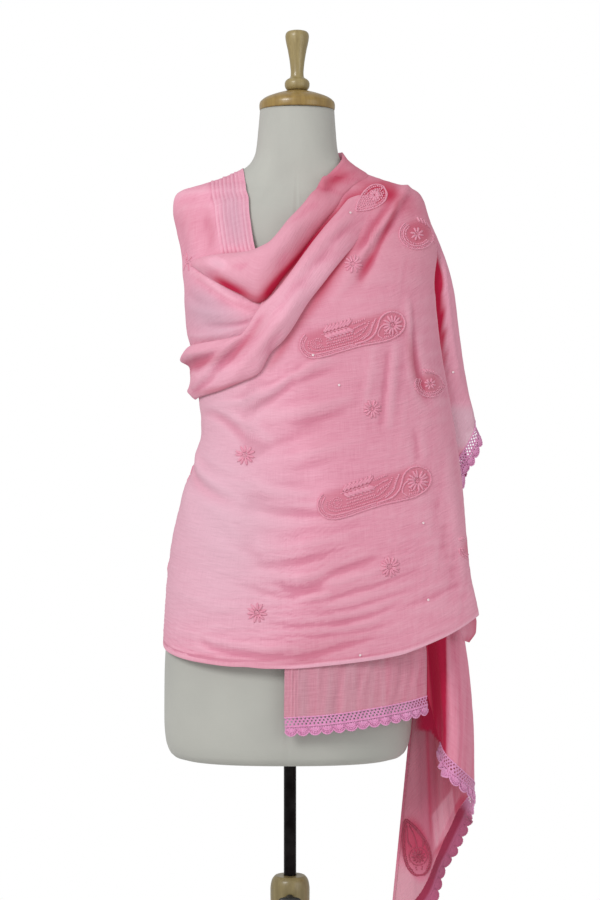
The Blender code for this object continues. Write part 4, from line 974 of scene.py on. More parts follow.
def makeLace(name, grid, material, first=0, shading=lambda share: 0 * share):
    edge = grid[0, first:]
    along = unit(np.gradient(edge, axis=0))
    down = edge - grid[1, first:]
    down = unit(down - along * np.sum(down * along, axis=-1, keepdims=True))
    lengths = runLengths(edge)
    total = lengths[-1]
    count = max(1, round(total / lace["pitch"]))
    pitch = total / count
    places3 = [smoothCurve(lengths, edge[:, axis]) for axis in range(3)]

    def onLace(s, t):  # a point t below the edge at the length s, and the normal there
        s = np.clip(s, 0, total)
        place = np.stack([curve(s) for curve in places3], axis=-1)
        way, run = [unit(np.stack([np.interp(s, lengths, line[:, a]) for a in range(3)], axis=-1))
                    for line in (down, along)]
        normal = np.cross(run, -way)
        return place + way * (lace["gap"] + t)[..., None], normal

    def scallop(s):  # how deep the fans reach at the length s
        across = 2 * ((s / pitch) % 1.0) - 1
        return lace["fanDepth"] * (0.30 + 0.70 * np.sqrt(np.clip(1 - across**2 * 0.96, 0, 1)))

    cells = count * lace["cells"]
    rows = lace["rowCount"]
    s, row = np.meshgrid(np.linspace(0, total, cells + 1), np.arange(rows + 1.0))
    meshRows = lace["meshRows"]
    depths = np.minimum(row / meshRows, 1) * lace["meshDepth"]
    depths = depths + np.maximum(row - meshRows, 0) / (rows - meshRows) * (scallop(s) - 0.4)
    place, normal = onLace(s, depths)
    bumps = 0.35 * np.cos(np.pi * row) * np.cos(2 * np.pi * s / pitch * lace["cells"] / 2)
    place = place + normal * bumps[..., None]
    faces = gridFaces(rows + 1, cells + 1)
    cellRow, cellColumn = np.divmod(np.arange(len(faces)), cells)
    holes = np.isin(cellRow, lace["holeRows"]) & ((cellColumn + 2 * (cellRow // 3)) % 5 < 2)
    holes |= (cellRow == lace["edgeHoleRow"]) & (cellColumn % lace["cells"] % 3 == 1)

    def tone(s, t):  # painted shade, deepest on the net
        return shading(s / total) * (0.72 + 0.28 * blend(12, 8, t))

    holes &= shading(cellColumn / cells) < 0.02
    points, allFaces = [place.reshape(-1, 3)], [faces[~holes]]
    # The third part of each place is its painted shade.
    laid = [np.stack([s, depths, tone(s, depths)], axis=-1).reshape(-1, 3)]
    start = len(points[0])

    strands = []  # lengths along the edge, depths below it, thickness, lumps, how proud
    for depth, thick, lumps in ((0.4, 1.2, 1.3), (12.6, 1.1, 1.3)):
        steps = np.arange(0, total + 0.1, 1.3)
        strands.append((steps, depth + 0.2 * np.sin(steps * 2.6), thick, lumps, 0.35))
    base = lace["meshDepth"]
    for i in range(count):  # a fan of posts in each scallop, bound by a beaded arc
        middle = (i + 0.5) * pitch
        for j in range(lace["fanPosts"]):
            angle = math.radians(-66 + 132 * j / (lace["fanPosts"] - 1))
            reach = np.linspace(0.15, 0.9, 5)
            sideways = middle + reach * math.sin(angle) * pitch * 0.47
            outward = reach * scallop(sideways) * (0.45 + 0.5 * math.cos(angle))
            strands.append((sideways, base + outward, 1.25, 1.8, 0.5))
        around = middle + pitch * np.linspace(-0.5, 0.5, 23)
        within = np.clip(around, i * pitch + 0.01, (i + 1) * pitch - 0.01)
        strands.append((around, base + scallop(within), 1.35, 1.7, 0.3))
        swing = np.radians(np.linspace(-88, 88, 13))
        inner = base + 0.55 * lace["fanDepth"] * np.cos(swing) ** 0.5
        strands.append((middle + pitch * 0.30 * np.sin(swing), inner, 1.1, 1.4, 0.7))
    for s, t, thick, lumps, proud in strands:
        place, normal = onLace(s, t)
        radius = lace["threadRadius"] * thick * (1 + 0.26 * np.sin(np.arange(len(s)) * lumps))
        tube = strandTube(place + normal * proud, normal, radius, lace["sides"])
        allFaces.append(tubeFaces(*tube.shape[:2], start))
        points.append(tube.reshape(-1, 3))
        laid.append(np.stack([s, t, tone(s, t)], axis=-1).repeat(lace["sides"], axis=0))
        start += len(points[-1])
    return meshPiece(name, np.concatenate(points), np.concatenate(allFaces), material,
                     {"clothPlace": np.concatenate(laid)})


# The form under the shawl, with its sewn seams, and the turned wooden parts.
form = {"sides": 160, "step": 4.0, "low": 566.0, "high": 1470.0, "radius": 150, "seamDepth": 1.1,
        "seamWidth": 1.5, "puff": 0.5, "seamTurns": (270, 233, 307, 180, 0, 90, 127, 53)}


def makeForm(material):
    heights = np.arange(form["low"], form["high"] + 0.1, form["step"])
    heights = np.unique(np.concatenate([np.array([row[0] for row in torsoRings], float), heights]))
    turns = np.linspace(0, 360, form["sides"] + 1)[:-1]
    turn, height = np.meshgrid(turns, heights)
    points = torsoPoint(turn, height)
    normal = torsoPoint(turn + 0.5, height) - torsoPoint(turn - 0.5, height)
    up = torsoPoint(turn, height + 0.5) - torsoPoint(turn, height - 0.5)
    normal = unit(np.cross(normal, up))
    lift = np.zeros_like(turn)
    for seam in form["seamTurns"]:
        away = np.radians(np.abs((turn - seam + 180) % 360 - 180)) * form["radius"]
        lift -= form["seamDepth"] * np.exp(-((away / form["seamWidth"]) ** 2))
        lift += form["puff"] * np.exp(-(((away - 4.5) / 3.0) ** 2))
    lift = lift * blend(1400, 1330, height) * blend(566, 585, height)
    points = points + normal * lift[..., None]
    rows, columns = turn.shape
    wrapped = np.concatenate([points, points[:, :1]], axis=1)
    low = wrapped[0].mean(axis=0)
    high = wrapped[-1].mean(axis=0)
    grid = np.concatenate([low + (wrapped[:1] - low) * 0.02, low + (wrapped[:1] - low) * 0.6,
                           wrapped, high + (wrapped[-1:] - high) * 0.5])
    place = np.stack([np.concatenate([turn, turn[:, :1] + 360], axis=1) * 2.6,
                      np.repeat(heights[:, None], columns + 1, axis=1),
                      np.zeros((rows, columns + 1))], axis=-1)
    place = np.concatenate([place[:1], place[:1], place, place[-1:]])
    return gridPiece("formCover", grid, material, {"clothPlace": place})


stand = {"capBase": 1470.3, "finialBase": 1498.6, "neckY": 1.5, "hubBase": 96.0}
# height, radius
neckCapProfile = [
    (0, 30), (0, 51), (1.2, 52.6), (7, 53), (11, 52.2), (14, 49.6), (17, 45.5), (21, 36), (25, 23.5),
    (27, 16), (28, 11), (28, 2),
]
finialProfile = [
    (0, 2), (0, 13), (3, 16.3), (6, 17.3), (9, 17.5), (12, 16.8), (15, 14.3), (17, 11), (18.5, 9.6),
    (24, 9), (32, 9.5), (40, 10.4), (50, 12), (58, 13.5), (66, 15.3), (71, 16.2), (75.5, 16.6),
    (79, 16), (82, 13.6), (83.6, 8), (84, 2), (84.1, 0.02),
]
hubProfile = [
    (0, 4), (0, 15), (2, 20), (6, 26), (16, 31), (40, 33.2), (70, 34), (100, 32.8), (120, 31),
    (138, 27), (150, 24), (165, 21.6), (180, 21), (215, 20.8), (250, 21), (256, 23), (262, 26.5),
    (272, 27.4), (285, 27.5), (293, 26.6), (298, 25.2), (302, 22.5), (304, 20), (304, 9.4),
]


def turnedPiece(name, profile, middle, material, sides):
    knots = np.array(profile, float)
    run = np.concatenate([[0.0], np.cumsum(np.hypot(*np.diff(knots, axis=0).T))])
    places = np.unique(np.concatenate([run, np.arange(0, run[-1], 1.4)]))
    heightAt, radiusAt = smoothCurve(run, knots[:, 0]), smoothCurve(run, knots[:, 1])
    turns = np.linspace(0, 2 * np.pi, sides + 1)
    height, radius = heightAt(places)[:, None], radiusAt(places)[:, None]
    rings = np.stack([radius * np.cos(turns), radius * np.sin(turns), height + 0 * turns], axis=-1)
    return gridPiece(name, rings + np.array(middle), material, {"grainPlace": rings})


leg = {"turns": (90.0, 210.0, 330.0), "corner": 4.0, "floor": 0.2}
# reach, height, half depth, half width
legProfile = [
    (33.5, 205, 33.5, 11.6), (56, 198, 28, 12), (80, 188, 24, 12), (107, 167, 21, 12),
    (134, 142, 19, 11.5), (161, 116, 17, 11), (188, 88, 16, 11), (210, 66, 15, 11),
    (230, 47, 14, 11.5), (246, 31, 14, 12), (257, 17.2, 17, 12), (262, 14, 14, 12),
]


def makeLegs(material):
    made = []
    corner = leg["corner"]
    for number, turn in enumerate(leg["turns"], 1):
        angle = math.radians(turn)
        rings = []
        for reach, height, depth, width in legProfile:
            ring = []
            for sideways, upright, start in ((1, 1, 0), (-1, 1, 90), (-1, -1, 180), (1, -1, 270)):
                for a in np.radians(start + np.linspace(0, 90, 5)):
                    across = sideways * (width - corner) + corner * math.cos(a)
                    above = upright * (depth - corner) + corner * math.sin(a)
                    ring.append((reach * math.cos(angle) - across * math.sin(angle),
                                 reach * math.sin(angle) + across * math.cos(angle),
                                 max(height + above, leg["floor"])))
            ring.append(ring[0])
            rings.append(ring)
        rings = np.array(rings)
        ends = [r.mean(axis=0) + (r - r.mean(axis=0)) * 0.02 for r in (rings[0], rings[-1])]
        rings = np.concatenate([ends[0][None], rings, ends[1][None]])
        x, y, z = rings[..., 0], rings[..., 1], rings[..., 2]
        place = np.stack([y * math.cos(angle) - x * math.sin(angle), z * 0.7,
                          x * math.cos(angle) + y * math.sin(angle)], axis=-1)  # grain along the leg
        made.append(meshPiece(f"woodLeg{number}", rings, gridFaces(*rings.shape[:2])[:, ::-1], material,
                              {"grainPlace": place}))
    return made


# The wing screw at the front of the hub.
wingScrew = {"front": -27.8, "depth": 13.8, "height": 372.0}
# share of the depth, boss radius, wing reach, flattening
screwProfile = [
    (0, 1, 0, 1), (0, 6, 0, 1), (0.08, 6.8, 0, 1), (0.42, 6.6, 0.6, 0.95), (0.55, 6.6, 6.5, 0.82),
    (0.75, 6.4, 9.3, 0.76), (0.92, 5.8, 9.4, 0.72), (0.99, 4.8, 8.6, 0.66), (1, 0.5, 1, 0.5),
]


def makeWingScrew(material):
    s = wingScrew
    rings = []
    turns = np.linspace(0, 2 * np.pi, 73)
    for share, boss, reach, flat in screwProfile:
        radius = boss + reach * np.abs(np.cos(turns)) ** 4
        rings.append(np.stack([radius * np.cos(turns), 0 * turns + s["front"] - share * s["depth"],
                               s["height"] + radius * np.sin(turns) * flat], axis=-1))
    return gridPiece("wingScrew", np.array(rings), material)


# Embroidery. A motif is drawn in its own plane, as short stitches, and laid on the cloth.
# Places on the front are pixels of the photo's 600 by 900 frame, seen from the camera's place.
view = {"x": 14.0, "y": -3000.0, "z": 995.0, "halfHeight": 630.0, "width": 600, "height": 900,
        "pixelsPerMm": 0.745}
stitch = {"proud": 0.12, "sides": 5, "flat": 0.85, "shortest": 0.2, "longest": 17.0}


class ClothMap:  # finds places on a finished piece of cloth
    def __init__(self, piece):
        mesh = piece.data
        points = np.empty(len(mesh.vertices) * 3)
        mesh.vertices.foreach_get("co", points)
        points = (points.reshape(-1, 3) - poleShift) / mm
        faces = [tuple(face.vertices) for face in mesh.polygons]
        self.tree = BVHTree.FromPolygons([Vector(p) for p in points], faces)

    def firstPlace(self, start, way):  # and the normal there, on the side it is seen from
        spot, normal, _, _ = self.tree.ray_cast(Vector(start), way)
        if spot is None:
            return None
        return np.array(spot), np.array(-normal if normal.dot(way) > 0 else normal)

    def fromCamera(self, px, py):  # motif units are pixels, y down
        scale = 2 * view["halfHeight"] / view["height"]
        way = Vector(((px - view["width"] / 2) * scale, -view["y"],
                      -(py - view["height"] / 2) * scale))
        return self.firstPlace((view["x"], view["y"], view["z"]), way.normalized())

    def fromSide(self, turn, height, spin):  # motif units are mm round and down from a centre
        angle = math.radians(turn)
        out = np.array([math.cos(angle), math.sin(angle), 0.0])
        right = np.array([-math.sin(angle), math.cos(angle), 0.0])
        centre = np.array([float(middleAt(height)), 0.0, height])
        c, s = math.cos(spin), math.sin(spin)

        def place(x, y):
            a, b = x * c - y * s, x * s + y * c
            start = centre + right * a + np.array([0.0, 0.0, -b]) + out * 420
            return self.firstPlace(start, Vector(-out).normalized())

        return place


class Stitches:  # sews a motif where on() puts it, u of its units to the mm
    def __init__(self, draw):
        self.draw, self.made = draw, []

    def on(self, place, u=1.0):
        self.place, self.u = place, u
        return self

    def add(self, x, y, angle, length, radius):  # one stitch, in the motif's units
        dx, dy = math.cos(angle) * length / 2, math.sin(angle) * length / 2
        start, end = self.place(x - dx, y - dy), self.place(x + dx, y + dy)
        if start is None or end is None:
            return
        run = end[0] - start[0]
        size = np.linalg.norm(run)
        if stitch["shortest"] < size < stitch["longest"]:
            self.made.append(((start[0] + end[0]) / 2, run / size, start[1], size, radius))

    def along(self, points, spacing, length, radius, tilt, loose):  # a row of stitches, sizes in mm
        points = np.asarray(points, float)
        lengths = runLengths(points)
        loose = loose * self.u
        count = max(2, int(lengths[-1] / (spacing * self.u)))

        def at(s):
            return [np.interp(s, lengths, points[:, axis]) for axis in (0, 1)]

        for s in (np.arange(count) + 0.5) * lengths[-1] / count:
            x, y = at(s)
            aheadX, aheadY = at(min(s + 0.3, lengths[-1]))
            behindX, behindY = at(max(s - 0.3, 0))
            angle = math.atan2(aheadY - behindY, aheadX - behindX)
            self.add(x + self.draw.normal(0, loose), y + self.draw.normal(0, loose),
                     angle + tilt + self.draw.normal(0, 0.14), length * self.u,
                     radius * self.draw.uniform(0.85, 1.15))

    def piece(self, name, material):  # each stitch is a short bead with pointed ends
        centres, ways, normals, lengths, radii = [np.array(column) for column in zip(*self.made)]
        sides = unit(np.cross(normals, ways))
        normals = np.cross(ways, sides)
        k = stitch["sides"]
        turns = np.linspace(0, 2 * np.pi, k, endpoint=False)
        rings = [(end, math.cos(a), math.sin(a)) for end in (-0.27, 0.27) for a in turns]
        base = np.array([(-0.5, 0.0, 0.0), *rings, (0.5, 0.0, 0.0)])
        faces = []
        for i in range(k):
            j = (i + 1) % k
            faces += [(0, 1 + j, 1 + i), (1 + i, 1 + j, 1 + k + j), (1 + i, 1 + k + j, 1 + k + i),
                      (1 + k + i, 1 + k + j, 1 + 2 * k)]
        count = len(centres)
        starts = np.arange(count)[:, None, None]
        faces = (np.array(faces)[None] + starts * len(base)).reshape(-1, 3)
        run, across, up = base.T[:, None, :, None]
        lengths, radii = lengths[:, None, None], radii[:, None, None]
        points = (centres[:, None] + ways[:, None] * (run * lengths) + sides[:, None] * (across * radii)
                  + normals[:, None] * ((up * stitch["flat"] + stitch["proud"]) * radii))
        place = np.stack(np.broadcast_arrays(run * lengths, across, starts * 3.7), axis=-1)
        return meshPiece(name, points, faces, material, {"threadPlace": place.reshape(-1, 3)})


def arcPoints(x, y, radius, startTurn, endTurn, flat=1.0):
    turns = np.radians(np.linspace(startTurn, endTurn, 40))
    return np.stack([x + radius * np.cos(turns), y - radius * flat * np.sin(turns)], axis=1)


def rounded(points, count=80):  # a smooth line through given points
    points = np.asarray(points, float)
    run = runLengths(points)
    places = np.linspace(0, run[-1], count)
    before = np.concatenate([2 * points[:1] - points[1:2], points, 2 * points[-1:] - points[-2:-1]])
    i = np.clip(np.searchsorted(run, places, side="right") - 1, 0, len(points) - 2)
    t = ((places - run[i]) / (run[i + 1] - run[i]))[:, None]
    a, b, c, d = before[i], before[i + 1], before[i + 2], before[i + 3]
    return 0.5 * (2 * b + (c - a) * t + (2 * a - 5 * b + 4 * c - d) * t**2
                  + (3 * b - a - 3 * c + d) * t**3)


def moved(points, x, y, angle, scale=1.0):
    points = np.asarray(points, float) * scale
    c, s = math.cos(angle), math.sin(angle)
    return np.stack([x + points[:, 0] * c - points[:, 1] * s,
                     y + points[:, 0] * s + points[:, 1] * c], axis=1)


def sewCord(sew, points, radius=1.3):  # stem stitch, like a thin rope
    sew.along(points, 1.9, 3.9, radius, 0.34, 0.08)


def sewKnots(sew, points, spacing=2.6, radius=1.25):  # a row of small knots
    sew.along(points, spacing, 2.4, radius, 1.0, 0.14)


def sewHatch(sew, corners, rows=3):  # close slanted stitches
    for i in range(rows):  # the corners are the ends of the lowest row, then of the highest
        line = corners[:2] + (corners[2:] - corners[:2]) * (i / (rows - 1))
        sew.along(line, 2.5, 3.4, 1.05, -1.05 + 0.5 * (i % 2), 0.22)


def sewRosette(sew, x, y, radius, petals):
    for i in range(petals):
        a = 2 * math.pi * (i + 0.3) / petals + sew.draw.normal(0, 0.05)
        reach = radius * 0.60 * sew.draw.uniform(0.93, 1.04)
        sew.add(x + reach * math.cos(a), y + reach * math.sin(a), a, radius * 0.86, 1.75)
        sew.add(x + radius * 0.50 * math.cos(a + 0.09), y + radius * 0.50 * math.sin(a + 0.09),
                a + 0.06, radius * 0.6, 1.25)
    sewKnots(sew, arcPoints(x, y, 1.6 * sew.u, 0, 360), 2.0, 0.8)


def sewSpray(sew, start, end, leaves, size):  # leaves in pairs on a stem
    angle = math.atan2(end[1] - start[1], end[0] - start[0])
    sewCord(sew, [start, end], 0.7)
    for i in range(leaves):
        x, y = np.array(start) + (np.array(end) - start) * ((i + 0.4) / leaves)
        for side, share in ((-1, 1.0), (1, 0.9)):
            a = angle + side * 0.7
            grow = size * share * sew.draw.uniform(0.92, 1.05)
            for spread in (-0.12, 0.12):
                sew.add(x + grow * 0.6 * math.cos(a + spread), y + grow * 0.6 * math.sin(a + spread),
                        a + spread * 0.5, grow * 0.95, 1.6)


# The long paisley lies along its middle line: x runs to the rosette, y down, in 1/100 of its length.
longShape = {
    "outer": [(-6, -15), (-13, -9), (-16, 0), (-13, 9), (-5, 15), (10, 17), (32, 16), (56, 15.5),
              (78, 17), (94, 17), (108, 12), (115, 3), (114, -7), (106, -14), (96, -15), (87, -10),
              (82, -2), (76, 6), (66, 11), (50, 12)],
    "inner": [(-5, -11), (-11, -3), (-10, 5), (-3, 11), (10, 12.5), (30, 12), (48, 11.5)],
    "beads": [(-9, -12), (-13.5, -1), (-11, 8), (-3, 13.5), (10, 14.8), (30, 14), (52, 13.5)],
    "rows": [[(-4, -6), (-6, 1), (-1, 7), (12, 9), (34, 9), (56, 8), (70, 2), (78, -9)],
             [(0, -6), (-2, 0), (3, 4.5), (14, 6), (34, 5.5), (54, 4), (67, -3), (74, -11)]],
    "nest": [(6, -1, 3.2), (6, -1, 5.6)],
    "branch": [[(60, 9), (70, 4), (76, -4), (82, -12)], [(84, 14), (80, 8), (84, 1), (90, -2)]],
    "hatch": [[(16, 3), (50, 2.5), (18, -4), (50, -5)], [(52, 0), (68, -5), (52, -13), (70, -15)],
              [(86, 13), (98, 13), (88, 4), (92, 8)]],
    "spray": [(13, -9.5), (46, -10.5)],
    "rosette": [(100, 1)],
}


def sewLongPaisley(sew, x, y, length, angle):
    scale = length / 100

    def laid(points):
        return moved(points, x, y, angle, scale)

    outer = laid(rounded(longShape["outer"]))
    sewCord(sew, outer, 1.45)
    way = np.gradient(outer, axis=0)
    away = np.stack([way[:, 1], -way[:, 0]], axis=1) / np.linalg.norm(way, axis=1)[:, None]
    sewKnots(sew, (outer + away * 2.7 * sew.u)[:int(len(outer) * 0.60)], 2.1, 0.85)
    sewCord(sew, laid(rounded(longShape["inner"])), 1.1)
    sewKnots(sew, laid(rounded(longShape["beads"])), 2.4, 1.0)
    for row in longShape["rows"]:
        sewKnots(sew, laid(rounded(row)), 2.5, 1.15)
    for centreX, centreY, reach in longShape["nest"]:
        nest = arcPoints(centreX, centreY, reach, 0, 360)[::4]
        sewKnots(sew, laid(rounded(nest)), 2.4, 1.05)
    for corners in longShape["hatch"]:
        sewHatch(sew, laid(corners))
    for row in longShape["branch"]:
        sewCord(sew, laid(rounded(row)), 1.15)
    sewRosette(sew, *laid(longShape["rosette"])[0], 13.0 * scale, 14)
    sewSpray(sew, *laid(longShape["spray"]), 7, 12.5 * scale)


def sewRoundPaisley(sew, x, y, radius, turn):  # an open crescent and rays
    for part, start, end in ((1.0, 95, 295), (0.79, 90, 285)):
        sewCord(sew, arcPoints(x, y, radius * part, turn + start, turn + end, 0.86))
    for part in (0.90, 0.66):
        sewKnots(sew, arcPoints(x, y, radius * part, turn + 92, turn + 288, 0.86), 2.3, 1.15)
    for i in range(9):  # close slanted rays on the open side
        a = math.radians(turn - 44 + i * 10)
        sew.add(x - radius * 0.20 + radius * 1.13 * math.cos(a),
                y + radius * 0.28 - radius * 1.13 * math.sin(a),
                math.radians(-118 - (turn - 40)) + sew.draw.normal(0, 0.06), radius * 0.44, 1.8)
    sewRosette(sew, x, y, radius * 0.40, 8)


def sewDrop(sew, x, y, length, width, angle, sparse=False):
    # a paisley, closely filled with knots or more open
    u = sew.u
    share = np.linspace(0, 1, 60)
    half = np.where(share < 0.35, np.sqrt(np.clip(1 - (1 - share / 0.35) ** 2, 0, 1)),
                    np.cos((share - 0.35) / 0.65 * np.pi / 2) ** 0.8)
    bend = -0.16 * length * share**2.4

    def laid(points):
        return moved(points, x, y, angle)

    for inset, sewLine in ((0.0, sewCord), (2.6, sewKnots)):
        size = np.maximum(half * width / 2 - inset * u, 0)
        keep = size > 0.4 * u
        if keep.sum() < 6:
            continue
        line = np.concatenate([np.stack([share * length, bend - size], axis=1)[keep],
                               np.stack([share * length, bend + size], axis=1)[keep][::-1]])
        sewLine(sew, laid(np.concatenate([line, line[:1]])))
    rose = laid([(0.34 * length, 0)])[0]
    sewRosette(sew, *rose, width * 0.27, 11)
    if sparse:
        sewKnots(sew, arcPoints(*rose, width * 0.33, 0, 360), 2.3, 0.9)
        for offset in (-0.10, 0.0, 0.10):  # curved stems that run up to the tip
            stem = [(0.50, offset), (0.62, offset * 1.3 - 0.02), (0.74, offset - 0.05),
                    (0.88, offset * 0.4 - 0.11)]
            sewCord(sew, laid(rounded(np.array(stem) * length)), 1.0)
        for offset in (-0.14, -0.05, 0.05, 0.14):
            row = np.array([(0.10, offset * 0.8), (0.17, offset * 1.2)]) * length
            sewKnots(sew, laid(rounded(row)), 2.4, 1.0)
        return
    for along in np.arange(0.10 * length, 0.92 * length, 2.7 * u):
        size = np.interp(along / length, share, half) * width / 2 - 5.0 * u
        if size < 0.8 * u:
            continue
        middle = np.interp(along / length, share, bend)
        line = laid([(along, middle - size), (along, middle + size)])
        if np.hypot(*(line - rose).T).min() > width * 0.16 or along > 0.5 * length:
            sew.along(line, 2.5, 3.0, 1.15, sew.draw.uniform(0.3, 1.2), 0.3)


# Where each motif of the front lies, in pixels.
longPaisleys = [(313, 345, 82, -0.255), (332, 505, 89, -0.285)]  # left end, length, angle
roundPaisleys = [(417, 234, 17.5, 40), (430, 384, 15, 60), (472, 548, 13, 90)]  # radius, turn
frontDrops = [(386, 190, 36, 21, 2.70)]  # round end, length, width, angle
frontFlowers = [(353, 264, 9.5, 12), (372, 409, 9.5, 12), (245, 455, 10.5, 11), (390, 567, 10.5, 14),
                (257, 613, 10.5, 11)]  # middle, radius, petals
shoulderFlower = (187, 262, 9.5, 11)
tailDrop = (420, 876, 58, 27, -1.66)
sequinSpots = [(339, 385), (423, 523), (313, 355), (428, 600), (350, 213), (360, 655)]
sideSequins = [(453, 372)]
# Motifs on the sides that the photo hides: turn, height, kind, size in mm, angle.
backMotifs = [
    (100, 1290, "long", 110, 0.30), (62, 1185, "flower", 14, 0), (132, 1175, "drop", 60, -0.4),
    (92, 1110, "flower", 14, 0), (140, 1060, "flower", 14, 0), (112, 985, "long", 115, 0.25),
    (70, 930, "flower", 14, 0), (95, 850, "drop", 60, -0.5), (138, 850, "flower", 14, 0),
    (108, 735, "flower", 14, 0), (62, 740, "drop", 56, 0.3), (150, 1290, "flower", 13, 0),
]
leftMotifs = [(176, 960, "flower", 14, 0), (174, 830, "drop", 50, 0.3)]
drapeMotifs = [(34, 1235, "long", 90, 0.45), (12, 1130, "flower", 13, 0), (56, 1070, "drop", 58, -0.4),
               (30, 1010, "flower", 13, 0), (70, 975, "flower", 13, 0)]
tailMotifs = [(0, 800, "drop", 56, 0.5), (8, 660, "flower", 13, 0)]


def sewMotifs(sew, cloth, motifs):
    for turn, height, kind, size, spin in motifs:
        sew.on(cloth.fromSide(turn, height, spin))
        if kind == "flower":
            sewRosette(sew, 0, 0, size, 12)
        elif kind == "long":
            sewLongPaisley(sew, -size / 2, 0, size, 0)
        else:
            sewDrop(sew, -size / 2, 0, size, size * 0.5, 0)


def sewFront(sew, cloth):
    sew.on(cloth.fromCamera, view["pixelsPerMm"])
    for sewMotif, motifs in ((sewLongPaisley, longPaisleys), (sewRoundPaisley, roundPaisleys),
                             (sewDrop, frontDrops), (sewRosette, frontFlowers)):
        for motif in motifs:
            sewMotif(sew, *motif)


# radius, rise of the rings from the sequin's hole round to its back
sequinProfile = [(0.3, 0.95), (0.7, 0.85), (1.3, 1.05), (1.7, 1.2), (1.7, 1.0), (1.1, 0.6)]


def makeSequins(spots, material):
    points, faces, count = [], [], 0
    turns = np.linspace(0, 2 * np.pi, 13)[:-1]
    for spot, normal in spots:
        side = unit(np.cross(normal, [0.0, 0.0, 1.0]))
        top = np.cross(side, normal)
        way = np.cos(turns)[:, None] * side + np.sin(turns)[:, None] * top
        rings = np.array([spot + normal * rise + radius * way for radius, rise in sequinProfile])
        faces.append(tubeFaces(*rings.shape[:2], count))
        points.append(rings.reshape(-1, 3))
        count += len(points[-1])
    return meshPiece("sequins", np.concatenate(points), np.concatenate(faces), material)


# Materials. Shared effects are node groups with their own inputs and outputs.
class Nodes:  # adds nodes to one tree; a value is a number, a colour or another node's socket
    def __init__(self, tree):
        self.tree = tree

    def join(self, value, socket):
        self.tree.links.new(value, socket)

    def make(self, kind, *values, **settings):
        made = self.tree.nodes.new(kind)
        for key, value in settings.items():
            setattr(made, key, value)
        for name, value in values:
            if isinstance(value, bpy.types.NodeSocket):
                self.join(value, made.inputs[name])
            elif made.inputs[name].type == "RGBA":
                made.inputs[name].default_value = (*value, 1.0)
            else:
                made.inputs[name].default_value = value
        return made

    def math(self, operation, *values):
        return self.make("ShaderNodeMath", *enumerate(values), operation=operation).outputs[0]

    def times(self, first, second):
        return self.math("MULTIPLY", first, second)

    def plus(self, first, second):
        return self.math("ADD", first, second)

    def halfWave(self, value):  # from -1 and 1 to 0 and 1
        return self.math("MULTIPLY_ADD", self.math("SINE", value), 0.5, 0.5)

    def mix(self, factor, first, second):  # two colours
        return self.make("ShaderNodeMix", (0, factor), (6, first), (7, second),
                         data_type="RGBA").outputs[2]

    def parts(self, vector):
        return self.make("ShaderNodeSeparateXYZ", (0, vector)).outputs

    def scaled(self, place, scale):
        return self.make("ShaderNodeVectorMath", (0, place), (1, scale),
                         operation="MULTIPLY").outputs[0]

    def noise(self, place, detailCount=3.0, rough=0.5):
        return self.make("ShaderNodeTexNoise", ("Scale", 1.0), ("Detail", detailCount),
                         ("Roughness", rough), ("Vector", place)).outputs["Fac"]

    def noiseAt(self, place, scale, detailCount=3.0, rough=0.5):
        return self.noise(self.scaled(place, scale), detailCount, rough)

    def range(self, value, low, high, newLow=0.0, newHigh=1.0):
        return self.make("ShaderNodeMapRange", ("Value", value), ("From Min", low), ("From Max", high),
                         ("To Min", newLow), ("To Max", newHigh), clamp=True).outputs["Result"]

    def attribute(self, name):
        return self.make("ShaderNodeAttribute", attribute_name=name).outputs["Vector"]

    def objectPlace(self, scale):
        place = self.make("ShaderNodeTexCoord").outputs["Object"]
        return self.scaled(place, (scale, scale, scale))

    def group(self, group, place, **values):
        return self.make("ShaderNodeGroup", ("Place", place), *values.items(),
                         node_tree=group).outputs


def newGroup(name, inputs, outputs):
    group = bpy.data.node_groups.new(name, "ShaderNodeTree")
    for label, kind, value in inputs:
        made = group.interface.new_socket(label, in_out="INPUT", socket_type=kind)
        made.default_value = value
    for label in outputs:
        group.interface.new_socket(label, in_out="OUTPUT", socket_type="NodeSocketFloat")
    given = group.nodes.new("NodeGroupInput").outputs
    return group, Nodes(group), given, group.nodes.new("NodeGroupOutput").inputs


def makeWeaveGroup():  # a plain weave with slub threads, places in mm
    group, nodes, given, result = newGroup(
        "plainWeave", [("Place", "NodeSocketVector", (0, 0, 0)), ("Pitch", "NodeSocketFloat", 0.9)],
        ["Height", "Slub", "Open"])
    waves = []
    for part in nodes.parts(given["Place"])[:2]:
        turns = nodes.math("DIVIDE", part, given["Pitch"])
        waves.append(nodes.math("SINE", nodes.times(turns, math.pi)))
    threads = nodes.times(*[nodes.math("ABSOLUTE", wave) for wave in waves])
    slubUp = nodes.noiseAt(given["Place"], (1.1, 0.035, 0.0), 2.0, 0.6)
    slubAcross = nodes.noiseAt(given["Place"], (0.03, 0.85, 0.0), 2.0, 0.6)
    slub = nodes.plus(nodes.times(slubUp, 0.45), nodes.times(slubAcross, 0.55))
    height = nodes.plus(nodes.times(nodes.times(*waves), 0.22), nodes.times(slub, 1.6))
    nodes.join(nodes.plus(height, nodes.times(threads, 0.3)), result["Height"])
    nodes.join(slub, result["Slub"])
    nodes.join(nodes.math("SUBTRACT", 1.0, threads), result["Open"])
    return group


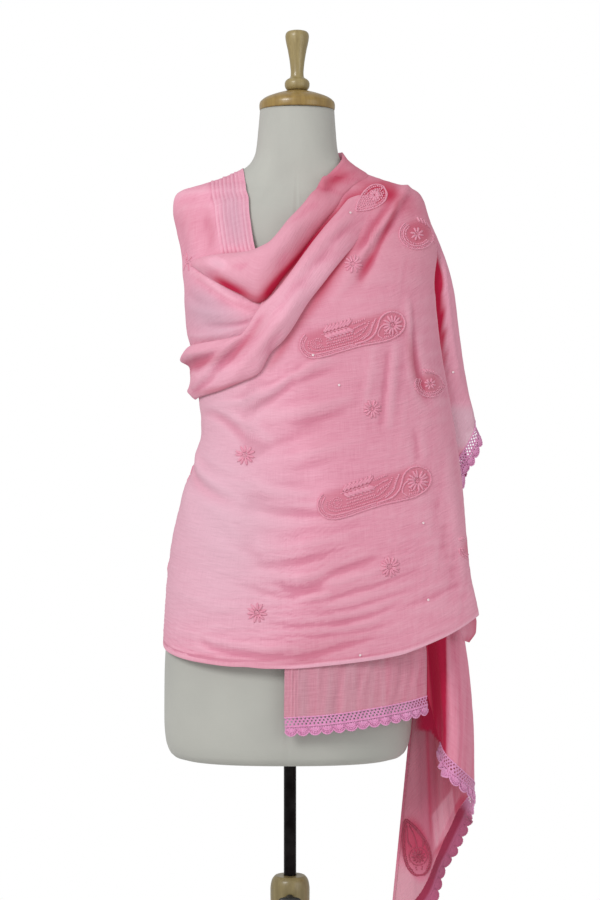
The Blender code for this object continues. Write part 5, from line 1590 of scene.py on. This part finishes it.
def makeDustGroup():  # soft cloudy patches and fine specks, places in mm
    group, nodes, given, result = newGroup(
        "handlingWear", [("Place", "NodeSocketVector", (0, 0, 0)), ("Patch", "NodeSocketFloat", 0.02)],
        ["Patches", "Specks"])
    scaled = nodes.make("ShaderNodeVectorMath", (0, given["Place"]), ("Scale", given["Patch"]),
                        operation="SCALE").outputs[0]
    nodes.join(nodes.range(nodes.noise(scaled, 4.0), 0.35, 0.68), result["Patches"])
    specks = nodes.noiseAt(given["Place"], (0.9, 0.9, 0.9), 2.0)
    nodes.join(nodes.range(specks, 0.55, 0.75), result["Specks"])
    return group


def makeGrainGroup():  # wood grain along the z of the place
    group, nodes, given, result = newGroup(
        "woodGrain", [("Place", "NodeSocketVector", (0, 0, 0))], ["Grain", "Rings"])
    grain = nodes.noiseAt(given["Place"], (0.55, 0.55, 0.018), 6.0, 0.62)
    warp = nodes.noiseAt(given["Place"], (0.05, 0.05, 0.006))
    across = nodes.parts(given["Place"])[0]
    nodes.join(grain, result["Grain"])
    nodes.join(nodes.halfWave(nodes.plus(nodes.times(across, 0.42), nodes.times(warp, 16.0))),
               result["Rings"])
    return group


def newMaterial(name, **values):
    material = bpy.data.materials.new(name)
    material.use_nodes = True
    shader = material.node_tree.nodes["Principled BSDF"].inputs
    for label, value in values.items():
        shader[label.replace("_", " ")].default_value = value
    return material, Nodes(material.node_tree), shader


def dress(nodes, shader, colour, height=None, strength=0.0, distance=0.0):
    nodes.join(colour, shader["Base Color"])
    if height is not None:
        bump = nodes.make("ShaderNodeBump", ("Strength", strength), ("Distance", distance),
                          ("Height", height))
        nodes.join(bump.outputs["Normal"], shader["Normal"])


def makeShawlCloth(name, colours, sheerness):
    material, nodes, shader = newMaterial(
        name, Roughness=0.85, Sheen_Weight=0.10, Sheen_Roughness=0.5, Specular_IOR_Level=0.08,
        Sheen_Tint=(1.0, 0.70, 0.80, 1.0), Emission_Strength=1.0)
    place = nodes.attribute("clothPlace")
    weave = nodes.group(weaveGroup, place, Pitch=0.9)
    wear = nodes.group(dustGroup, place, Patch=0.012)
    # Its parts are the painted shade of fine and of broad hollows, and the piece's painted light and
    # shade tone.
    fine, broad, layer = nodes.parts(nodes.attribute("foldShade"))
    base = nodes.mix(wear["Patches"], colours["light"], colours["soft"])
    # Painted highlight on the ridges, painted shade in the hollows, then the painted light and the
    # painted shade of the piece's tone.
    for value, low, high, share, colour in (
            (weave["Slub"], 0.38, 0.62, 0.75, "slub"), (fine, -0.15, -1.0, 0.35, "ridgeHighlight"),
            (fine, 0.1, 1.0, 0.38, "creaseShade"), (broad, 0.0, 1.0, 0.32, "creaseShade"),
            (layer, 0.0, -1.0, 1.0, "paintedPale"), (layer, 0.0, 1.0, 1.0, "paintedShade")):
        base = nodes.mix(nodes.range(value, low, high, 0.0, share), base, colours[colour])
    paintedGlow = nodes.mix(nodes.range(layer, 0.2, 1.0), *colours["paintedGlow"])
    nodes.join(paintedGlow, shader["Emission Color"])  # painted glow: an emission that stands in for light coming through the layers
    through = nodes.times(nodes.range(weave["Slub"], 0.36, 0.64, 1.3, 0.3),
                          nodes.range(layer, -1.0, 0.6, sheerness, 0.0))
    alpha = nodes.math("SUBTRACT", 1.0, through)  # less shows through where more painted shade is given, over more layers, and most where the cloth is painted pale
    nodes.join(alpha, shader["Alpha"])
    crinkled = nodes.noiseAt(place, (0.05, 0.30, 0.0), 3.0, 0.55)
    height = nodes.plus(nodes.times(weave["Height"], 0.3), nodes.times(crinkled, 2.6))
    dress(nodes, shader, base, height, 0.6, 0.0006)
    return material


def makeThread(name, colours):
    material, nodes, shader = newMaterial(name, Roughness=0.62, Sheen_Weight=0.25, Sheen_Roughness=0.4,
                                          Specular_IOR_Level=0.35)
    place = nodes.attribute("threadPlace")
    along, across, _ = nodes.parts(place)
    ply = nodes.halfWave(nodes.plus(nodes.times(along, 9.0), nodes.times(across, 1.6)))
    each = nodes.noiseAt(place, (0.05, 0.1, 0.9), 1.0)
    base = nodes.mix(nodes.range(each, 0.3, 0.7), colours[0], colours[1])
    dress(nodes, shader, nodes.mix(nodes.times(ply, 0.30), base, colours[2]), ply, 0.5, 0.0002)
    return material


def makeLaceThread():
    material, nodes, shader = newMaterial("crochetThread", Roughness=0.7, Sheen_Weight=0.35,
                                          Sheen_Roughness=0.45, Specular_IOR_Level=0.3)
    place = nodes.attribute("clothPlace")
    ply = nodes.noiseAt(place, (2.2, 2.2, 0.0), 2.0, 0.6)
    wear = nodes.group(dustGroup, place, Patch=0.03)
    base = nodes.mix(wear["Patches"], (0.82, 0.34, 0.59), (0.88, 0.42, 0.68))
    base = nodes.mix(nodes.range(ply, 0.35, 0.65, 0.0, 0.6), base, (0.68, 0.21, 0.44))
    shade = nodes.parts(place)[2]
    base = nodes.mix(shade, base, (0.34, 0.012, 0.055))  # where it hangs in shade
    dress(nodes, shader, base, ply, 0.7, 0.0004)
    return material


def makeFormCover():
    material, nodes, shader = newMaterial("creamFormCover", Roughness=0.8, Sheen_Weight=0.2,
                                          Sheen_Roughness=0.5, Specular_IOR_Level=0.25)
    place = nodes.attribute("clothPlace")
    weave = nodes.group(weaveGroup, place, Pitch=0.7)
    wear = nodes.group(dustGroup, place, Patch=0.009)
    base = nodes.mix(wear["Patches"], (0.44, 0.44, 0.405), (0.475, 0.475, 0.435))
    base = nodes.mix(nodes.times(wear["Specks"], 0.15), base, (0.39, 0.375, 0.33))
    dress(nodes, shader, base, weave["Height"], 0.25, 0.0004)
    return material


def makeWood(name, colours):
    material, nodes, shader = newMaterial(name, Roughness=0.38, Coat_Weight=0.35, Coat_Roughness=0.2,
                                          Specular_IOR_Level=0.45)
    place = nodes.attribute("grainPlace")
    grain = nodes.group(grainGroup, place)
    wear = nodes.group(dustGroup, place, Patch=0.03)
    base = nodes.mix(nodes.range(grain["Grain"], 0.35, 0.65), colours[0], colours[1])
    base = nodes.mix(nodes.times(grain["Rings"], 0.35), base, colours[2])
    nodes.join(nodes.range(wear["Patches"], 0.0, 1.0, 0.32, 0.5), shader["Roughness"])
    dress(nodes, shader, base, grain["Grain"], 0.25, 0.0005)
    return material


def makePlain(name, colour, metallic, roughness):  # metal and plastic, worn a little
    material, nodes, shader = newMaterial(name, Metallic=metallic, Roughness=roughness,
                                          Specular_IOR_Level=0.5)
    wear = nodes.group(dustGroup, nodes.objectPlace(1000), Patch=0.06)
    worn = tuple(min(1.0, c * 2.2 + 0.02) for c in colour)
    base = nodes.mix(nodes.times(wear["Patches"], 0.35), colour, worn)
    nodes.join(nodes.range(wear["Specks"], 0.0, 1.0, roughness, roughness + 0.2), shader["Roughness"])
    dress(nodes, shader, base, wear["Specks"], 0.1, 0.0002)
    return material


def makeMottled(name, scale, grain, detailCount, low, high, **values):  # soft patches of two colours
    material, nodes, shader = newMaterial(name, **values)
    shade = nodes.noiseAt(nodes.objectPlace(scale), (grain, grain, grain), detailCount)
    dress(nodes, shader, nodes.mix(nodes.range(shade, 0.3, 0.7), low, high))
    return material


weaveGroup = makeWeaveGroup()
dustGroup = makeDustGroup()
grainGroup = makeGrainGroup()
# Colours of the voile. The ridge colour is a painted highlight and the crease colour painted shade in
# the hollows. The deepest colour is painted shade in recesses and between layers. The pale one is
# painted light where light shows through a single layer. The glow is an emission painted in for light
# that comes through the layers.
pink = {"light": (0.80, 0.345, 0.46), "soft": (0.75, 0.30, 0.415), "slub": (0.86, 0.43, 0.545),
        "ridgeHighlight": (0.89, 0.54, 0.64), "creaseShade": (0.53, 0.115, 0.205), "paintedShade": (0.35, 0.013, 0.046),
        "paintedPale": (0.76, 0.475, 0.57), "paintedGlow": ((0.008, 0.0004, 0.0015), (0.12, 0.002, 0.010))}
# A darker copy of the pink with painted shade, for the inner end and the tail, which hang in shade; its
# pale colour is greyer, and more light shows through it.
sheerShadedPink = dict(pink, slub=(0.82, 0.31, 0.43), ridgeHighlight=(0.85, 0.40, 0.51),
                 light=(0.73, 0.185, 0.29), soft=(0.70, 0.17, 0.275), paintedPale=(0.51, 0.36, 0.40),
                 paintedShade=(0.33, 0.010, 0.040), paintedGlow=((0.008, 0.0004, 0.0015), (0.14, 0.006, 0.020)))
shawlCloth = makeShawlCloth("shawlVoile", pink, 0.08)
# The left shoulder's voile, with a greyer painted light through its single layer.
shoulderCloth = makeShawlCloth("singleVoile", dict(pink, paintedPale=(0.60, 0.385, 0.475)), 0.08)
sheerShadedCloth = makeShawlCloth("sheerShadedVoile", sheerShadedPink, 0.18)
embroideryThread = makeThread("embroideryThread",
                              ((0.79, 0.30, 0.42), (0.84, 0.38, 0.49), (0.64, 0.17, 0.28)))
# A darker copy of the thread, with painted shade, for the tail's embroidery, which lies in shade.
shadedThread = makeThread("shadedThread", ((0.42, 0.05, 0.10), (0.50, 0.08, 0.15), (0.28, 0.02, 0.05)))
laceThread = makeLaceThread()
creamCover = makeFormCover()
varnishedWood = makeWood("varnishedBeech",
                         ((0.27, 0.17, 0.04), (0.34, 0.22, 0.06), (0.19, 0.11, 0.025)))
hubWood = makeWood("wornBeech", ((0.21, 0.16, 0.065), (0.27, 0.21, 0.09), (0.15, 0.11, 0.04)))
paleWood = makeWood("paleBeech", ((0.29, 0.22, 0.09), (0.36, 0.28, 0.12), (0.21, 0.15, 0.055)))
blackMetal = makePlain("blackPole", (0.010, 0.008, 0.008), 1.0, 0.26)
blackPlastic = makePlain("blackPlastic", (0.012, 0.012, 0.012), 0.0, 0.38)
pearl = makeMottled("pearlSequin", 1000, 0.6, 2.0, (0.86, 0.62, 0.68), (0.95, 0.80, 0.82),
                    Roughness=0.22, Specular_IOR_Level=0.7, Coat_Weight=0.6)
paleFloor = makeMottled("paleFloor", 30, 0.5, 3.0, (0.80, 0.80, 0.79), (0.83, 0.83, 0.82),
                        Roughness=0.7)
print("shawl: materials made")

wrapPiece = makeFrontWrap(shawlCloth)
cowlPiece = makeCowl(shawlCloth)
shoulderPiece = makeLeftShoulder(shoulderCloth)
backPiece = makeBack(shawlCloth)
innerPiece, innerGrid = makeInnerEnd(sheerShadedCloth)
drapePiece, drapeGrid = makeSideDrape(shawlCloth)
tailPiece, tailGrid = makeSideTail(sheerShadedCloth)
print("shawl: cloth made")

laceFront = makeLace("laceFront", innerGrid, laceThread)
laceSide = makeLace("laceSide", drapeGrid, laceThread)
laceStart = round(tailGrid.shape[1] * 5 / 27)  # the first part of the tail's edge has none
# The lace on the tail's rear part is given painted shade, as it hangs in shade.
laceTail = makeLace("laceTail", tailGrid, laceThread, laceStart,
                    lambda share: 0.95 * blend(0.42, 0.50, share))
print("shawl: lace made")

draw = np.random.default_rng(7)
frontMap, shoulderMap, backMap = ClothMap(wrapPiece), ClothMap(shoulderPiece), ClothMap(backPiece)
drapeMap, tailMap = ClothMap(drapePiece), ClothMap(tailPiece)
frontSewing, backSewing, sideSewing, tailSewing = [Stitches(draw) for _ in range(4)]
sewFront(frontSewing, frontMap)
sewMotifs(frontSewing, frontMap, leftMotifs)
sewRosette(frontSewing.on(shoulderMap.fromCamera, view["pixelsPerMm"]), *shoulderFlower)
frontStitches = frontSewing.piece("frontEmbroidery", embroideryThread)
sewMotifs(backSewing, backMap, backMotifs)
backStitches = backSewing.piece("backEmbroidery", embroideryThread)
sewMotifs(sideSewing, drapeMap, drapeMotifs)
sewMotifs(tailSewing, tailMap, tailMotifs)
sewDrop(tailSewing.on(tailMap.fromCamera, view["pixelsPerMm"]), *tailDrop, sparse=True)
tailStitches = tailSewing.piece("tailEmbroidery", shadedThread)
sideStitches = sideSewing.piece("sideEmbroidery", embroideryThread)
sequinPlaces = [frontMap.fromCamera(x, y) for x, y in sequinSpots]
sequinPlaces += [drapeMap.fromCamera(x, y) for x, y in sideSequins]
sequinPiece = makeSequins([place for place in sequinPlaces if place], pearl)
print("shawl: embroidery made", *[len(sewing.made) for sewing in (frontSewing, backSewing, sideSewing)])

formPiece = makeForm(creamCover)
neckX = float(middleAt(stand["capBase"]))
capPiece = turnedPiece("neckCap", neckCapProfile, (neckX, stand["neckY"], stand["capBase"]),
                       varnishedWood, 96)
finialPiece = turnedPiece("turnedFinial", finialProfile, (neckX, stand["neckY"], stand["finialBase"]),
                          paleWood, 64)
hubPiece = turnedPiece("standHub", hubProfile, (0.0, 0.0, stand["hubBase"]), hubWood, 80)
legPieces = makeLegs(varnishedWood)
screwPiece = makeWingScrew(blackPlastic)
for metalNode in ("pole", "flange"):
    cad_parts[metalNode].material_slots[0].material = blackMetal
print("shawl: form and stand made")

# Each piece's slot, which the loop below leaves unused, and the nodes of the source that it replaces.
pieceNodes = [
    ("shawl_cloth", [(wrapPiece, "front_panel", "chest_fold"), (cowlPiece, "cowl_fold"),
                     (shoulderPiece, "left_shoulder_panel"), (backPiece, "back_panel"),
                     (innerPiece, "inner_end"), (drapePiece, "side_drape"), (tailPiece, "side_tail")]),
    ("crochet_lace", [(laceFront, "lace_front"), (laceSide, "lace_side"), (laceTail, "lace_tail")]),
    ("shawl_cloth", [(frontStitches,), (backStitches,), (sideStitches,), (tailStitches,),
                     (sequinPiece,)]),
    ("form_cover", [(formPiece, "torso")]),
    ("varnished_wood", [(capPiece, "neck_cap"), (finialPiece, "finial"), (hubPiece, "hub")]),
    ("black_plastic", [(screwPiece, "wing_screw")]),
    ("varnished_wood", [(piece, f"leg_{number}") for number, piece in enumerate(legPieces, 1)]),
]
for slot, pieces in pieceNodes:
    for piece, *nodes in pieces:
        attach(piece, "root")
        if nodes:
            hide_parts(*nodes)

# Plain studio: pale floor, white surround, one soft key light and a weak fill.
stage = {"floorRadii": (0.01, 500, 1000, 1450), "floorTop": -0.4, "surround": 0.555}
# name, place, what it points at, width, power
lamps = [("keyLight", (-1.7, -2.4, 2.5), (0, 0, 1.05), 1.3, 54.0),
         ("fillLight", (2.2, -2.2, 1.4), (0, 0, 1.0), 2.0, 13.0)]
floorRings = np.array([[(r * math.cos(a), r * math.sin(a), stage["floorTop"])
                        for a in np.linspace(0, 2 * np.pi, 97)] for r in stage["floorRadii"]])
meshPiece("studioFloor", floorRings, gridFaces(4, 97)[:, ::-1], paleFloor)


def areaLight(name, place, target, size, power):
    data = bpy.data.lights.new(name, "AREA")
    data.shape = "DISK"
    data.size = size
    data.energy = power
    made = bpy.data.objects.new(name, data)
    bpy.context.scene.collection.objects.link(made)
    made.location = place
    made.rotation_euler = (Vector(target) - Vector(place)).to_track_quat("-Z", "Y").to_euler()


for lamp in lamps:
    areaLight(*lamp)
world = bpy.data.worlds.new("whiteSurround")  # plain white to the camera, softer as a light
bpy.context.scene.world = world
world.use_nodes = True
worldNodes = Nodes(world.node_tree)
background = world.node_tree.nodes["Background"].inputs
background["Color"].default_value = (1, 1, 1, 1)
seen = worldNodes.make("ShaderNodeLightPath").outputs["Is Camera Ray"]
worldNodes.join(worldNodes.range(seen, 0.0, 1.0, stage["surround"], 1.0), background["Strength"])
bpy.context.scene.view_settings.view_transform = "Standard"

cameraData = bpy.data.cameras.new("photoCamera")
cameraData.sensor_fit = "VERTICAL"
cameraData.angle = 2 * math.atan(view["halfHeight"] / -view["y"])
camera = bpy.data.objects.new("photoCamera", cameraData)
bpy.context.scene.collection.objects.link(camera)
camera.location = toRow((view["x"], view["y"], view["z"]))
camera.rotation_euler = (math.radians(90), 0, 0)
bpy.context.scene.camera = camera
